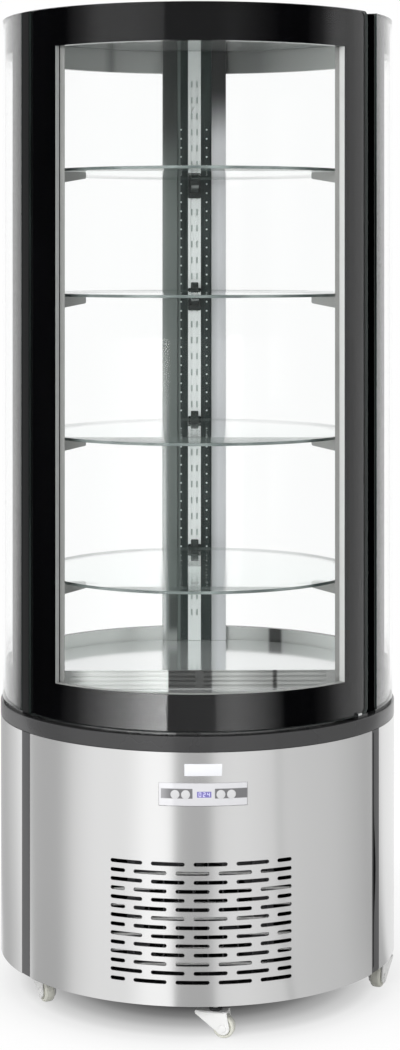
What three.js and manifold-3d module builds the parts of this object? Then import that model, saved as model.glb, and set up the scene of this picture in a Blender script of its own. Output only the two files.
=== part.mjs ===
// A round refrigerated display cabinet on castors: a curved glass door and two fixed curved glass units round
// four glass shelves, on a louvred steel base that holds the cooling machinery.
// Lengths are in mm and +Z is up. The front is -Y. Angles are in degrees, from the front towards +X.
import * as THREE from "three";
import { mergeVertices } from "three/addons/utils/BufferGeometryUtils.js";
import Module from "manifold-3d";

const wasm = await Module();
wasm.setup();

// Overall sizes
const overallHeight = 1658;
const glassRadius = 338;
const collarOverhang = 3;
const baseUnderside = 60;
const baseHeight = 404;
const collarHeight = 25;
const glassLift = 6;

// Clearances and small common sizes
const seatGap = 0.3;
const curvedGap = 0.5;
const cutOverrun = 1;
const weld = 0.4;

// Facets
const facetAngle = 7.5;
const pinSides = 10;
const roundSides = 12;
const shelfSides = 48;

// Glass units
const paneThickness = 4;
const unitThickness = 20;
const topBorderHeight = 62;
const bottomBorderHeight = 59.5;
const doorHalfAngle = 55.6;
const doorGripEdgeAngle = 56.8;
const doorWindowHalfAngle = 45.2;
const doorCornerRadius = 12;
const fixedStartAngle = 61.3;
const fixedFrontBorderAngle = 9.1;
const fixedRearBorderAngle = 10;
const fixedRearGap = 2;

// Door gasket, hinge and grip
const gasketThickness = 4.4;
const gasketWidth = 12;
const gasketBottomInset = 4;
const gasketTopInset = 7;
const gasketHingeSetback = 1;
const pivotEdgeInset = 8;
const pivotPinRadius = 2.6;
const pivotBoreRadius = 3;
const pivotPinLength = 10;
const hingeArmHalfWidth = 4.6;
const hingeArmThickness = 5;
const hingeNotchDepth = 7.5;
const hingeArmClearance = 0.8;
const hingePadHalfLength = 19;
const hingePadWidth = 17;
const gripAngle = 4;
const gripWall = 2;
const gripLip = 9;

// Base
const panelThickness = 2;
const panelReturn = 10;
const panelPlay = 0.4;
const uprightAngle = 58.6;
const uprightTurn = 0.9;
const uprightHalfWidth = 13.2;
const uprightDepth = 22;
const uprightInset = 1;
const panThickness = 2.5;
const panInset = 1;
const panRimHeight = 15;
const glandRadius = 12;
const glandBore = 5;
const glandLength = 12;
const glandInset = 45;
const collarWidth = 41;
const glassSeatInset = 4;

// Louvre of the front panel, and the rear vents
const louvreTopRow = 223.6;
const louvreRows = 14;
const louvreRowPitch = 14.3;
const louvreHalfWidth = 150;
const slotLength = 53.5;
const slotHeight = 5.3;
const slotPitch = 68.6;
const shortestSlot = 12;
const rearVentRows = 4;
const rearVentColumns = 1;
const rearVentSetback = 60;

// Controls
const controlHeight = 36.4;
const controlHalfWidth = 71;
const controlDrop = 67;
const controlTurn = 0.45;
const controlRecess = 1.5;
const controlThickness = 2;
const controllerHalfWidth = 54;
const controllerHeight = 26;
const controllerDepth = 24;
const buttonRadius = 7.2;
const buttonLength = 5.8;
const buttonPlay = 0.35;
const buttonTravel = 1.5;
const buttonProud = 0.8;
const buttonPlaces = [-45.2, -28.2, 28.2, 45.2];

// Cabinet interior
const deckLift = 42;
const ceilingDrop = 21;
const sheetThickness = 2;
const capDrop = 1;
const linerRimWall = 2.5;
const linerPlay = 0.5;
const sillSetback = 146;
const sillHeight = 31;
const sillThickness = 3;
const sillSlotRows = 4;
const sillSlotColumns = 2;
const sillSlotPitch = 7.5;
const sillSlotHeight = 3.2;
const sillSlotMargin = 23;
const sillSlotGap = 14;
const sillSlotFirst = 4;
const airOpeningCount = 3;
const airOpeningLength = 84;
const airOpeningWidth = 36;
const airOpeningGap = 16;
const airOpeningSetback = 30;

// Posts, column and slotted standards
const postAngle = 59;
const postHalfAngle = 7.2;
const postDepth = 16;
const postWall = 2;
const postCoverHalfAngle = 1.6;
const postCoverAngle = 58.7;
const postCoverInset = 2;
const postCoverWall = 1.5;
const columnHalfWidth = 59;
const columnDepth = 13;
const columnForward = 1;
const columnWall = 1.5;
const recessHalfWidth = 32;
const recessDepth = 6;
const standardHalfWidth = 12;
const standardWall = 1.5;
const slotRowPitch = 30;
const slotEndRoom = 50;
const postHooks = [0];
const standardHooks = [-5, 5];
const hookWidth = 2.4;
const hookHeight = 10;
const hookReach = 3;
const hookPlay = 0.4;
const hookDrop = 1;
const ledCentre = 24;
const ledWidth = 10;
const ledThickness = 2.5;
const ledBottom = 145;
const ledLength = 828;

// Shelves and brackets
const shelfThickness = 5;
const shelfSetback = 25;
const firstShelf = 178.5;
const topShelfRoom = 240;
const shelfRowShares = [0, 0.35, 0.7, 1];
const bracketReach = 71.5;
const bracketWidth = 14;
const bracketPlateWidth = 24;
const bracketPlateThickness = 3;
const bracketPlateDrop = 34;
const bracketPlateRise = 8;
const bracketRootDepth = 23;
const bracketTipDepth = 11.5;
const bracketTipRadius = 3.5;
const lugRise = 14;
const lugThickness = 8;
const lugPlay = 1;

// Castors
const castorSetback = 36.5;
const castorSetbackShares = [1, 0.63, 1, 1, 1.5];
const castorAngles = [4.4, 80.5, 148, 220, 293.9];
const castorHeadings = [-15, -115, 200, 130, -65];
const castorTrail = 14;
const wheelRadius = 18;
const wheelWidth = 18;
const wheelShoulder = 3;
const wheelSides = 12;
const axleRadius = 3;
const axleBore = 3.4;
const forkPlay = 0.8;
const forkWall = 3;
const forkTop = 44;
const forkHeadFront = 31.5;
const forkHeadBack = 21;
const forkNoseRadius = 11;
const forkNoseStart = 216;
const forkSkirt = 5;
const axleCapRadius = 6;
const axleCapProud = 2;
const stemRadius = 5;
const stemPlay = 0.35;
const stemTop = 81;
const stemFlangeRadius = 9;
const stemFlangeHeight = 5;
const socketRadius = 11;
const socketHeight = 26;

// Cooling machinery
const machineGap = 0.3;
const finThickness = 2;
const finPitch = 24;
const finSpine = 6;
const condenserHalfWidth = 119;
const condenserDepth = 38;
const condenserHeight = 226;
const condenserPlay = 3;
const shroudThickness = 6;
const shroudRingRadius = 95;
const shroudRingWall = 4;
const shroudRingLength = 36;
const motorRadius = 28;
const motorLength = 44;
const motorStrutWidth = 12;
const motorStrutThickness = 5;
const fanShaftRadius = 4;
const fanBoreRadius = 4.3;
const fanHubRadius = 20;
const fanHubLength = 24;
const fanBladeRadius = 86;
const fanBladeChord = 42;
const fanBladeThickness = 2;
const fanBladePitch = 30;
const fanBladeCount = 5;
const compressorRadius = 76;
const compressorHeight = 165;
const compressorDome = 38;
const compressorOffsetX = 95;
const compressorOffsetY = 95;
const compressorFoot = 190;
const compressorFootThickness = 4;
const evaporatorHalfWidth = 150;
const evaporatorDepth = 110;
const evaporatorHeight = 70;

// Heights
const baseTop = baseUnderside + baseHeight;
const collarTop = baseTop + collarHeight;
const glassBottom = collarTop + glassLift;
const deckTop = collarTop + deckLift;
const ceilingBottom = overallHeight - ceilingDrop;
const capTop = overallHeight - capDrop;
const panBottom = baseUnderside + panInset;
const panTop = panBottom + panThickness;
const uprightBottom = deckTop + seatGap;
const uprightTop = ceilingBottom - seatGap;
const firstUnderside = deckTop + firstShelf - shelfThickness;
const controlMiddle = baseTop - controlDrop;

// Radii
const baseRadius = glassRadius + collarOverhang;
const unitInner = glassRadius - unitThickness;
const linerRadius = unitInner - gasketThickness - 2 * seatGap;
const collarInner = baseRadius - collarWidth;
const uprightFace = linerRadius - postDepth;
const shelfRadius = uprightFace - shelfSetback;
const pivotRadius = glassRadius - unitThickness / 2;
const castorCircle = baseRadius - castorSetback;

const degrees = THREE.MathUtils.radToDeg;
const radians = THREE.MathUtils.degToRad;

// The angle that a length spans on a radius, in degrees.
function span(length, radius) {
  return degrees(length / radius);
}

// The plan point at a radius and an angle.
function polar(radius, angle) {
  const a = radians(angle);
  return new THREE.Vector2(radius * Math.sin(a), -radius * Math.cos(a));
}

// The plan point at an angle on a faceted circle, whose corners are at the multiples of the facet angle.
function facetPoint(radius, angle) {
  const half = facetAngle / 2;
  const offset = THREE.MathUtils.euclideanModulo(angle, facetAngle) - half;
  return polar((radius * Math.cos(radians(half))) / Math.cos(radians(offset)), angle);
}

// Points along an arc of the faceted circle: its two ends and the corners between them.
function arcPoints(radius, from, to) {
  const [low, high] = from < to ? [from, to] : [to, from];
  const angles = [low];
  for (let corner = Math.floor(low / facetAngle) + 1; corner * facetAngle < high; corner++) {
    angles.push(corner * facetAngle);
  }
  angles.push(high);
  const points = angles.map((angle) => facetPoint(radius, angle));
  return from < to ? points : points.reverse();
}

// A closed mesh as a solid.
function solid(geometry) {
  geometry.deleteAttribute("normal");
  geometry.deleteAttribute("uv");
  const merged = mergeVertices(geometry, 1e-4);
  const vertProperties = merged.attributes.position.array;
  const triVerts = new Uint32Array(merged.index.array);
  return new wasm.Manifold(new wasm.Mesh({ numProp: 3, vertProperties, triVerts }));
}

// A plan outline raised between two heights.
function prism(points, bottom, top, holes = []) {
  const shape = new THREE.Shape(points);
  shape.holes = holes.map((hole) => new THREE.Path(hole));
  const geometry = new THREE.ExtrudeGeometry(shape, { depth: top - bottom, bevelEnabled: false });
  return solid(geometry.translate(0, 0, bottom));
}

// A curved wall between two radii, two angles and two heights.
function wall(inner, outer, from, to, bottom, top) {
  return prism([...arcPoints(outer, from, to), ...arcPoints(inner, to, from)], bottom, top);
}

// A full ring between two radii and two heights.
function ring(inner, outer, bottom, top) {
  return prism(arcPoints(outer, 0, 360).slice(1), bottom, top, [arcPoints(inner, 0, 360).slice(1)]);
}

// A box by its middle in plan and its two heights.
function block(width, depth, bottom, top, x = 0, y = 0) {
  const geometry = new THREE.BoxGeometry(width, depth, top - bottom);
  return solid(geometry.translate(x, y, (bottom + top) / 2));
}

// An upright round bar.
function bar(radius, bottom, top, x = 0, y = 0, sides = pinSides) {
  const geometry = new THREE.CylinderGeometry(radius, radius, top - bottom, sides);
  return solid(geometry.rotateX(Math.PI / 2).translate(x, y, (bottom + top) / 2));
}

// A round bar along Y, between two places on it, about a height.
function barAlongY(radius, front, back, height, sides = pinSides) {
  const geometry = new THREE.CylinderGeometry(radius, radius, back - front, sides);
  return solid(geometry.translate(0, (front + back) / 2, height));
}

// An outline in the plane of radius and height, given that thickness across and centred, facing the front.
function sideProfile(points, thickness) {
  const shape = new THREE.Shape(points);
  const geometry = new THREE.ExtrudeGeometry(shape, { depth: thickness, bevelEnabled: false });
  geometry.translate(0, 0, -thickness / 2);
  const facing = new THREE.Matrix4().makeBasis(
    new THREE.Vector3(0, -1, 0),
    new THREE.Vector3(0, 0, 1),
    new THREE.Vector3(-1, 0, 0),
  );
  return solid(geometry.applyMatrix4(facing));
}

// A folded sheet in plan: the path is its front face, and the thickness lies on the path's left.
function foldedSheet(path, thickness, bottom, top) {
  const heading = (a, b) => b.clone().sub(a).normalize();
  const back = path.map((point, i) => {
    const before = i > 0 ? heading(path[i - 1], point) : heading(point, path[i + 1]);
    const after = i < path.length - 1 ? heading(point, path[i + 1]) : before;
    const mitre = new THREE.Vector2(-before.y - after.y, before.x + after.x);
    return point.clone().addScaledVector(mitre, thickness / (1 + before.dot(after)));
  });
  return prism([...path, ...back.reverse()], bottom, top);
}

// A solid turned about the cabinet's axis.
function turned(part, angle) {
  return part.rotate([0, 0, angle]);
}

// A solid mirrored from right to left.
function mirrored(part) {
  return part.mirror([1, 0, 0]);
}

function joined(...parts) {
  return wasm.Manifold.union(parts);
}

// Materials, by what the pieces are made of
const finishes = {
  brushedSteel: { color: 0xc9cac9, roughness: 0.35, metalness: 1 },
  polishedSteel: { color: 0xd2d5d4, roughness: 0.12, metalness: 1 },
  darkFrame: { color: 0x4c4c4d, roughness: 0.5, metalness: 0.2 },
  blackBorder: { color: 0x0b0b0c, roughness: 0.15, metalness: 0 },
  rubber: { color: 0x1a1a1b, roughness: 0.8, metalness: 0 },
  glass: { color: 0xdcefe8, roughness: 0.03, metalness: 0, transparent: true, opacity: 0.25 },
  brightPaint: { color: 0xe4ebe8, roughness: 0.4, metalness: 0 },
  controlFilm: { color: 0xe9e9ea, roughness: 0.4, metalness: 0 },
  castorPlastic: { color: 0xdcdcd8, roughness: 0.45, metalness: 0 },
  wheelPlastic: { color: 0xd8d9c8, roughness: 0.5, metalness: 0 },
  fins: { color: 0xa7abad, roughness: 0.4, metalness: 1 },
  machineBlack: { color: 0x202122, roughness: 0.5, metalness: 0.1 },
};
const materials = Object.fromEntries(
  Object.entries(finishes).map(([name, look]) => [name, new THREE.MeshStandardMaterial(look)]),
);

// A solid's surface as a geometry, which several meshes can share.
function surface(part) {
  const mesh = part.getMesh();
  const geometry = new THREE.BufferGeometry();
  geometry.setAttribute("position", new THREE.BufferAttribute(mesh.vertProperties, 3));
  geometry.setIndex(new THREE.BufferAttribute(mesh.triVerts, 1));
  geometry.computeVertexNormals();
  return geometry;
}

const cabinet = new THREE.Group();

// Adds one named piece to a group.
function add(name, shape, finish, parent = cabinet) {
  const geometry = shape instanceof THREE.BufferGeometry ? shape : surface(shape);
  const mesh = new THREE.Mesh(geometry, materials[finish]);
  mesh.name = name;
  parent.add(mesh);
  return mesh;
}

// The outline of what fits inside the glass: it stands back behind the door and meets the fixed units.
function linerOutline(inset) {
  const beside = unitInner - linerPlay - inset;
  return [
    ...arcPoints(linerRadius - inset, -fixedStartAngle, fixedStartAngle),
    ...arcPoints(beside, fixedStartAngle, 360 - fixedStartAngle),
  ];
}

// A slot with rounded ends, cut through a panel's wall at an angle and a height.
function panelSlot(length, angle, middle) {
  const depth = panelThickness + 2 * cutOverrun;
  const half = slotHeight / 2;
  const end = length / 2 - half;
  const shape = new THREE.Shape();
  shape.absarc(end, 0, half, -Math.PI / 2, Math.PI / 2, false);
  shape.absarc(-end, 0, half, Math.PI / 2, (3 * Math.PI) / 2, false);
  const geometry = new THREE.ExtrudeGeometry(shape, { depth, curveSegments: 1, bevelEnabled: false });
  geometry.rotateX(Math.PI / 2).translate(0, -baseRadius + depth - cutOverrun, middle);
  return turned(solid(geometry), angle);
}

// Castor places, shared by the base frame and the castors
const castorPlaces = castorAngles.map((angle, i) => {
  return polar(baseRadius - castorSetback * castorSetbackShares[i], angle);
});

// Base frame: the pan with its rim, the castor sockets, the three uprights and the cable gland
function baseFrame() {
  const panRadius = baseRadius - panelThickness - curvedGap;
  const pan = prism(arcPoints(panRadius, 0, 360).slice(1), panBottom, panTop);
  const rim = ring(panRadius - panThickness, panRadius, panBottom, panTop + panRimHeight);
  const half = span(uprightHalfWidth, baseRadius);
  const outer = baseRadius - uprightInset;
  const uprights = [uprightTurn - uprightAngle, uprightTurn + uprightAngle, 180].map((angle) =>
    wall(outer - uprightDepth, outer, angle - half, angle + half, panBottom, baseTop - seatGap),
  );
  const sockets = castorPlaces.map(({ x, y }) => bar(socketRadius, panBottom, panTop + socketHeight, x, y));
  const bores = castorPlaces.map(({ x, y }) =>
    bar(stemRadius + stemPlay, panBottom - cutOverrun, stemTop + seatGap, x, y),
  );
  const { x, y } = polar(baseRadius - glandInset, 180);
  const glandBottom = panBottom - glandLength;
  const gland = bar(glandRadius, glandBottom, panTop, x, y);
  const glandHole = bar(glandBore, glandBottom - cutOverrun, panTop + cutOverrun, x, y);
  return joined(pan, rim, gland, ...uprights, ...sockets).subtract(joined(glandHole, ...bores));
}

// A curved base panel with a folded return along each upright edge
function basePanel(from, to) {
  const inner = baseRadius - panelThickness;
  const fold = span(panelThickness, baseRadius);
  const top = baseTop - seatGap;
  const returnBottom = panTop + panRimHeight + seatGap;
  const returns = [[from, from + fold], [to - fold, to]].map(([a, b]) =>
    wall(inner - panelReturn, inner + weld, a, b, returnBottom, top),
  );
  return joined(wall(inner, baseRadius, from, to, baseUnderside, top), ...returns);
}

// One louvre row: full slots from the left, and a short one to fill the right end
function louvreRow(flip, middle) {
  const slots = [];
  for (let start = -louvreHalfWidth; start + shortestSlot <= louvreHalfWidth; start += slotPitch) {
    const end = Math.min(start + slotLength, louvreHalfWidth);
    const angle = span((start + end) / 2, baseRadius);
    slots.push(panelSlot(end - start, flip ? -angle : angle, middle));
  }
  return slots;
}

function frontPanel() {
  const reach = uprightAngle - span(uprightHalfWidth + panelPlay, baseRadius);
  const slots = [];
  for (let row = 0; row < louvreRows; row++) {
    slots.push(...louvreRow(row % 2 === 1, baseUnderside + louvreTopRow - row * louvreRowPitch));
  }
  const half = span(controlHalfWidth + seatGap, baseRadius);
  const opening = wall(
    baseRadius - panelThickness - cutOverrun,
    baseRadius + cutOverrun,
    controlTurn - half,
    controlTurn + half,
    controlMiddle - controlHeight / 2 - seatGap,
    controlMiddle + controlHeight / 2 + seatGap,
  );
  return basePanel(uprightTurn - reach, uprightTurn + reach).subtract(joined(opening, ...slots));
}

// A side panel, from a front upright's angle round to the rear one, with vents beside the rear upright
function sidePanel(frontUpright) {
  const play = span(uprightHalfWidth + panelPlay, baseRadius);
  const slots = [];
  for (let row = 0; row < rearVentRows; row++) {
    for (let column = 0; column < rearVentColumns; column++) {
      const angle = 180 - span(rearVentSetback + column * slotPitch, baseRadius);
      const middle = baseUnderside + louvreTopRow - row * louvreRowPitch;
      slots.push(panelSlot(slotLength, angle, middle));
    }
  }
  return basePanel(frontUpright + play, 180 - play).subtract(joined(...slots));
}

// Collar ring: it carries the glass on a set-back seat, and the lower hinge plate
const pivotAngle = doorHalfAngle - span(pivotEdgeInset, pivotRadius);
const pivot = polar(pivotRadius, pivotAngle);

function collarRing() {
  const seatTop = glassBottom - seatGap;
  const body = ring(collarInner, baseRadius, baseTop, collarTop);
  const seatEdge = fixedStartAngle + span(glassSeatInset, glassRadius);
  const seat = wall(
    unitInner + glassSeatInset,
    glassRadius - glassSeatInset,
    seatEdge,
    360 - seatEdge,
    collarTop - weld,
    seatTop,
  );
  const padHalf = span(hingePadHalfLength, pivotRadius);
  const pad = wall(
    pivotRadius - hingePadWidth / 2,
    pivotRadius + hingePadWidth / 2,
    pivotAngle - padHalf,
    pivotAngle + padHalf / 2,
    collarTop - weld,
    seatTop,
  );
  const bore = bar(pivotBoreRadius, glassBottom - pivotPinLength - seatGap, glassBottom, pivot.x, pivot.y);
  return joined(body, seat, pad).subtract(bore);
}

// Deck: a shallow tray turned over, with the slotted sill across the front and the air openings before it
function deck() {
  const bottom = collarTop + seatGap;
  const tray = prism(linerOutline(0), bottom, deckTop);
  const hollow = prism(linerOutline(linerRimWall), bottom - cutOverrun, deckTop - sheetThickness);
  const sillFront = -(linerRadius - sillSetback);
  const halfChord = Math.sqrt(uprightFace ** 2 - sillFront ** 2);
  const postEdge = polar(uprightFace / Math.cos(radians(postHalfAngle)), postAngle - postHalfAngle).x;
  const sillHalf = Math.min(halfChord, postEdge - seatGap);
  const sill = block(
    2 * sillHalf,
    sillThickness,
    deckTop - weld,
    deckTop + sillHeight,
    0,
    sillFront + sillThickness / 2,
  );
  const cuts = [];
  const slotted = 2 * (sillHalf - sillSlotMargin) + sillSlotGap;
  const slotWidth = slotted / sillSlotColumns - sillSlotGap;
  for (let row = 0; row < sillSlotRows; row++) {
    const low = deckTop + sillSlotFirst + row * sillSlotPitch;
    for (let column = 0; column < sillSlotColumns; column++) {
      const x = (column - (sillSlotColumns - 1) / 2) * (slotWidth + sillSlotGap);
      const depth = sillThickness + 2 * cutOverrun;
      cuts.push(block(slotWidth, depth, low, low + sillSlotHeight, x, sillFront + sillThickness / 2));
    }
  }
  const sheetBottom = deckTop - sheetThickness;
  for (let i = 0; i < airOpeningCount; i++) {
    const x = (i - (airOpeningCount - 1) / 2) * (airOpeningLength + airOpeningGap);
    const y = sillFront - airOpeningSetback - airOpeningWidth / 2;
    const opening = block(airOpeningLength, airOpeningWidth, sheetBottom - cutOverrun, deckTop + cutOverrun);
    cuts.push(opening.translate([x, y, 0]));
  }
  return tray.subtract(hollow).add(sill).subtract(joined(...cuts));
}

// Top cap: a tray turned over, with the upper hinge arm
function topCap() {
  const tray = prism(linerOutline(0), ceilingBottom, capTop);
  const hollow = prism(linerOutline(linerRimWall), ceilingBottom - cutOverrun, capTop - sheetThickness);
  const armTop = capTop - seatGap;
  const armBottom = armTop - hingeArmThickness;
  const armLength = pivotRadius - linerRadius + linerRimWall;
  const arm = block(2 * hingeArmHalfWidth, armLength, armBottom, armTop, 0, -pivotRadius + armLength / 2);
  const armEnd = bar(hingeArmHalfWidth, armBottom, armTop, 0, -pivotRadius);
  const bore = bar(pivotBoreRadius, armBottom - cutOverrun, armTop + cutOverrun, 0, -pivotRadius);
  return tray.subtract(hollow).add(turned(joined(arm, armEnd).subtract(bore), pivotAngle));
}

// Ceiling: a sheet inside the cap's rim, carried by the tops of the uprights
function ceilingPanel() {
  return prism(linerOutline(linerRimWall + seatGap), ceilingBottom, ceilingBottom + sheetThickness);
}

// A side post: a box section whose flat inner face carries the slots
function slottedPost() {
  const from = postAngle - postHalfAngle;
  const to = postAngle + postHalfAngle;
  const turn = span(postWall, uprightFace);
  const corner = 1 / Math.cos(radians(postHalfAngle));
  const outline = [
    ...arcPoints(linerRadius, from, to),
    polar(uprightFace * corner, to),
    polar(uprightFace * corner, from),
  ];
  const hollow = [
    ...arcPoints(linerRadius - postWall, from + turn, to - turn),
    polar((uprightFace + postWall) * corner, to - turn),
    polar((uprightFace + postWall) * corner, from + turn),
  ];
  const slots = slotRows(postWall, postHooks).map((slot) => turned(slot, postAngle));
  return prism(outline, uprightBottom, uprightTop, [hollow]).subtract(joined(...slots));
}

// Rows of slots for the bracket hooks, cut through a wall in front of the axis
function slotRows(thickness, hookPlaces) {
  const width = hookWidth + 2 * hookPlay;
  const half = hookHeight / 2 + hookDrop;
  const lowest = Math.ceil((uprightBottom + slotEndRoom - firstUnderside) / slotRowPitch);
  const highest = Math.floor((uprightTop - slotEndRoom - firstUnderside) / slotRowPitch);
  const slots = [];
  for (let row = lowest; row <= highest; row++) {
    const middle = firstUnderside + row * slotRowPitch;
    for (const x of hookPlaces) {
      const y = -uprightFace - thickness / 2;
      slots.push(block(width, thickness + 2 * cutOverrun, middle - half, middle + half, x, y));
    }
  }
  return slots;
}

// The cover on the right post, which closes the space between the door's hinge edge and the fixed glass
function postCover() {
  const outer = glassRadius - postCoverInset;
  const from = postCoverAngle - postCoverHalfAngle;
  const to = postCoverAngle + postCoverHalfAngle;
  const turn = span(postCoverWall, outer);
  const back = linerRadius + seatGap;
  const top = capTop - postCoverInset;
  const front = wall(outer - postCoverWall, outer, from, to, glassBottom, top);
  const sides = [[from, from + turn], [to - turn, to]].map(([a, b]) =>
    wall(back, outer - postCoverWall + weld, a, b, glassBottom, top),
  );
  const feet = [[from, from + turn], [to - turn, to]].map(([a, b]) =>
    wall(linerRadius - weld, back + weld, a, b, uprightBottom, uprightTop),
  );
  return joined(front, ...sides, ...feet);
}

// Rear column: folded sheet with a wide recess for the standard and the LED strips
const columnFront = uprightFace + columnForward;
const recessFloor = columnFront + recessDepth;

function rearColumn() {
  const back = columnFront + columnDepth;
  const right = [
    new THREE.Vector2(recessHalfWidth, recessFloor),
    new THREE.Vector2(recessHalfWidth, columnFront),
    new THREE.Vector2(columnHalfWidth, columnFront),
    new THREE.Vector2(columnHalfWidth, back),
  ];
  const left = right.map((point) => new THREE.Vector2(-point.x, point.y)).reverse();
  return foldedSheet([...left, ...right], columnWall, uprightBottom, uprightTop);
}

// Rear standard: a folded channel in the recess, with the slots in its front face
function rearStandard() {
  const back = recessFloor - seatGap;
  const path = [
    new THREE.Vector2(-standardHalfWidth, back),
    new THREE.Vector2(-standardHalfWidth, uprightFace),
    new THREE.Vector2(standardHalfWidth, uprightFace),
    new THREE.Vector2(standardHalfWidth, back),
  ];
  const slots = slotRows(standardWall, standardHooks).map((slot) => turned(slot, 180));
  return foldedSheet(path, standardWall, uprightBottom, uprightTop).subtract(joined(...slots));
}

function ledStrip(side) {
  const bottom = deckTop + ledBottom;
  const y = recessFloor - seatGap - ledThickness / 2;
  return block(ledWidth, ledThickness, bottom, bottom + ledLength, side * ledCentre, y);
}

// A bracket, facing the front, its heights counted from the shelf's underside
function bracket(hookPlaces) {
  const root = uprightFace - seatGap;
  const plateFace = root - bracketPlateThickness;
  const tip = uprightFace - bracketReach + bracketTipRadius;
  const lugInner = shelfRadius + lugPlay;
  const lugOuter = lugInner + lugThickness;
  const lugTop = shelfThickness + lugRise;
  const profile = new THREE.Shape();
  profile.moveTo(root, -bracketPlateDrop);
  profile.lineTo(root, bracketPlateRise);
  profile.lineTo(plateFace, bracketPlateRise);
  profile.lineTo(plateFace, -seatGap);
  profile.lineTo(lugOuter, -seatGap);
  profile.lineTo(lugOuter, lugTop);
  profile.lineTo(lugInner, lugTop);
  profile.lineTo(lugInner, -seatGap);
  profile.lineTo(tip, -seatGap);
  const lowerCentre = bracketTipRadius - bracketTipDepth;
  profile.absarc(tip, -seatGap - bracketTipRadius, bracketTipRadius, Math.PI / 2, Math.PI, false);
  profile.absarc(tip, lowerCentre, bracketTipRadius, Math.PI, (3 * Math.PI) / 2, false);
  profile.lineTo(plateFace, -bracketRootDepth);
  profile.lineTo(plateFace, -bracketPlateDrop);
  const arm = sideProfile(profile.getPoints(2), bracketWidth);
  const plateMiddle = -(root + plateFace) / 2;
  const plate = block(
    bracketPlateWidth,
    bracketPlateThickness,
    -bracketPlateDrop,
    bracketPlateRise,
    0,
    plateMiddle,
  );
  const hookLength = weld + seatGap + hookReach;
  const hookMiddle = -(root - weld) - hookLength / 2;
  const hooks = hookPlaces.map((x) =>
    block(hookWidth, hookLength, -hookHeight / 2, hookHeight / 2, x, hookMiddle),
  );
  return joined(arm, plate, ...hooks);
}

// A glass pane or a frame of the door or of a fixed unit, at its place in the unit's thickness
function unitLayers(from, to) {
  const outerFace = glassRadius - paneThickness;
  const innerFace = unitInner + paneThickness;
  return {
    outer: wall(outerFace, glassRadius, from, to, glassBottom, overallHeight),
    frame: wall(innerFace + seatGap, outerFace - seatGap, from, to, glassBottom, overallHeight),
    inner: wall(unitInner, innerFace, from, to, glassBottom, overallHeight),
  };
}

// The see-through part of a unit, as a cutter for its frame
function windowCut(from, to) {
  return wall(
    unitInner - cutOverrun,
    glassRadius + cutOverrun,
    from,
    to,
    glassBottom + bottomBorderHeight,
    overallHeight - topBorderHeight,
  );
}

// The door, hung on its right edge
function door() {
  const layers = unitLayers(-doorGripEdgeAngle, doorHalfAngle);
  const corner = span(doorCornerRadius, glassRadius);
  const cornerCuts = [1, -1].map((up) => {
    const edge = up > 0 ? overallHeight : glassBottom;
    const centre = edge - up * doorCornerRadius;
    const square = block(
      doorCornerRadius + cutOverrun,
      2 * unitThickness,
      Math.min(centre, edge + up * cutOverrun),
      Math.max(centre, edge + up * cutOverrun),
      (doorCornerRadius + cutOverrun) / 2,
      -glassRadius,
    );
    const round = barAlongY(doorCornerRadius, -glassRadius - 2 * unitThickness, 0, centre, 4 * pinSides);
    return turned(square.subtract(round), doorHalfAngle - corner);
  });
  const trimmed = joined(...cornerCuts);
  const notchWidth = hingeArmHalfWidth + hingeArmClearance;
  const notchBottom = overallHeight - hingeNotchDepth;
  const notch = block(
    notchWidth + pivotEdgeInset + cutOverrun,
    2 * unitThickness,
    notchBottom,
    overallHeight + cutOverrun,
    (pivotEdgeInset + cutOverrun - notchWidth) / 2,
    -(glassRadius - paneThickness - seatGap / 2) + unitThickness,
  );
  const hingeNotch = turned(notch, pivotAngle);
  const lowerPin = bar(pivotPinRadius, glassBottom - pivotPinLength, glassBottom + weld, pivot.x, pivot.y);
  const upperPin = bar(pivotPinRadius, notchBottom - weld, capTop - seatGap, pivot.x, pivot.y);
  const window = windowCut(-doorWindowHalfAngle, doorWindowHalfAngle);
  return {
    outer: layers.outer.subtract(trimmed),
    frame: layers.frame.subtract(joined(window, trimmed, hingeNotch)).add(joined(lowerPin, upperPin)),
    inner: layers.inner.subtract(joined(trimmed, hingeNotch)),
  };
}

// Door gasket: a closed loop on the inner pane, which lands on the posts, the deck's rim and the cap's rim
function doorGasket() {
  const outer = unitInner - seatGap;
  const inner = outer - gasketThickness;
  const edge = pivotAngle - span(gasketHingeSetback, pivotRadius);
  const side = span(gasketWidth, unitInner);
  const bottom = glassBottom + gasketBottomInset;
  const top = overallHeight - gasketTopInset - hingeArmThickness;
  const loop = wall(inner, outer, -edge, edge, bottom, top);
  const middle = wall(
    inner - cutOverrun,
    outer + cutOverrun,
    side - edge,
    edge - side,
    bottom + gasketWidth,
    top - gasketWidth,
  );
  return loop.subtract(middle);
}

// Door grip: a C profile along the door's left edge, open towards the fixed glass
function doorGrip() {
  const play = span(seatGap, glassRadius);
  const near = -doorGripEdgeAngle - play;
  const far = near - gripAngle;
  const wallAngle = span(gripWall, glassRadius);
  const inner = unitInner + gripWall;
  const front = wall(glassRadius - gripWall, glassRadius, far, near, glassBottom, overallHeight);
  const sideOuter = glassRadius - gripWall + weld;
  const side = wall(inner, sideOuter, near - wallAngle, near, glassBottom, overallHeight);
  const back = wall(inner, inner + gripWall, near - span(gripLip, inner), near, glassBottom, overallHeight);
  return joined(front, side, back);
}

// A fixed unit, from the hinge side's end of the door opening round to the middle of the back
function fixedUnit() {
  const rear = 180 - span(fixedRearGap / 2, glassRadius);
  const layers = unitLayers(fixedStartAngle, rear);
  const window = windowCut(fixedStartAngle + fixedFrontBorderAngle, rear - fixedRearBorderAngle);
  return { outer: layers.outer, frame: layers.frame.subtract(window), inner: layers.inner };
}

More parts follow.
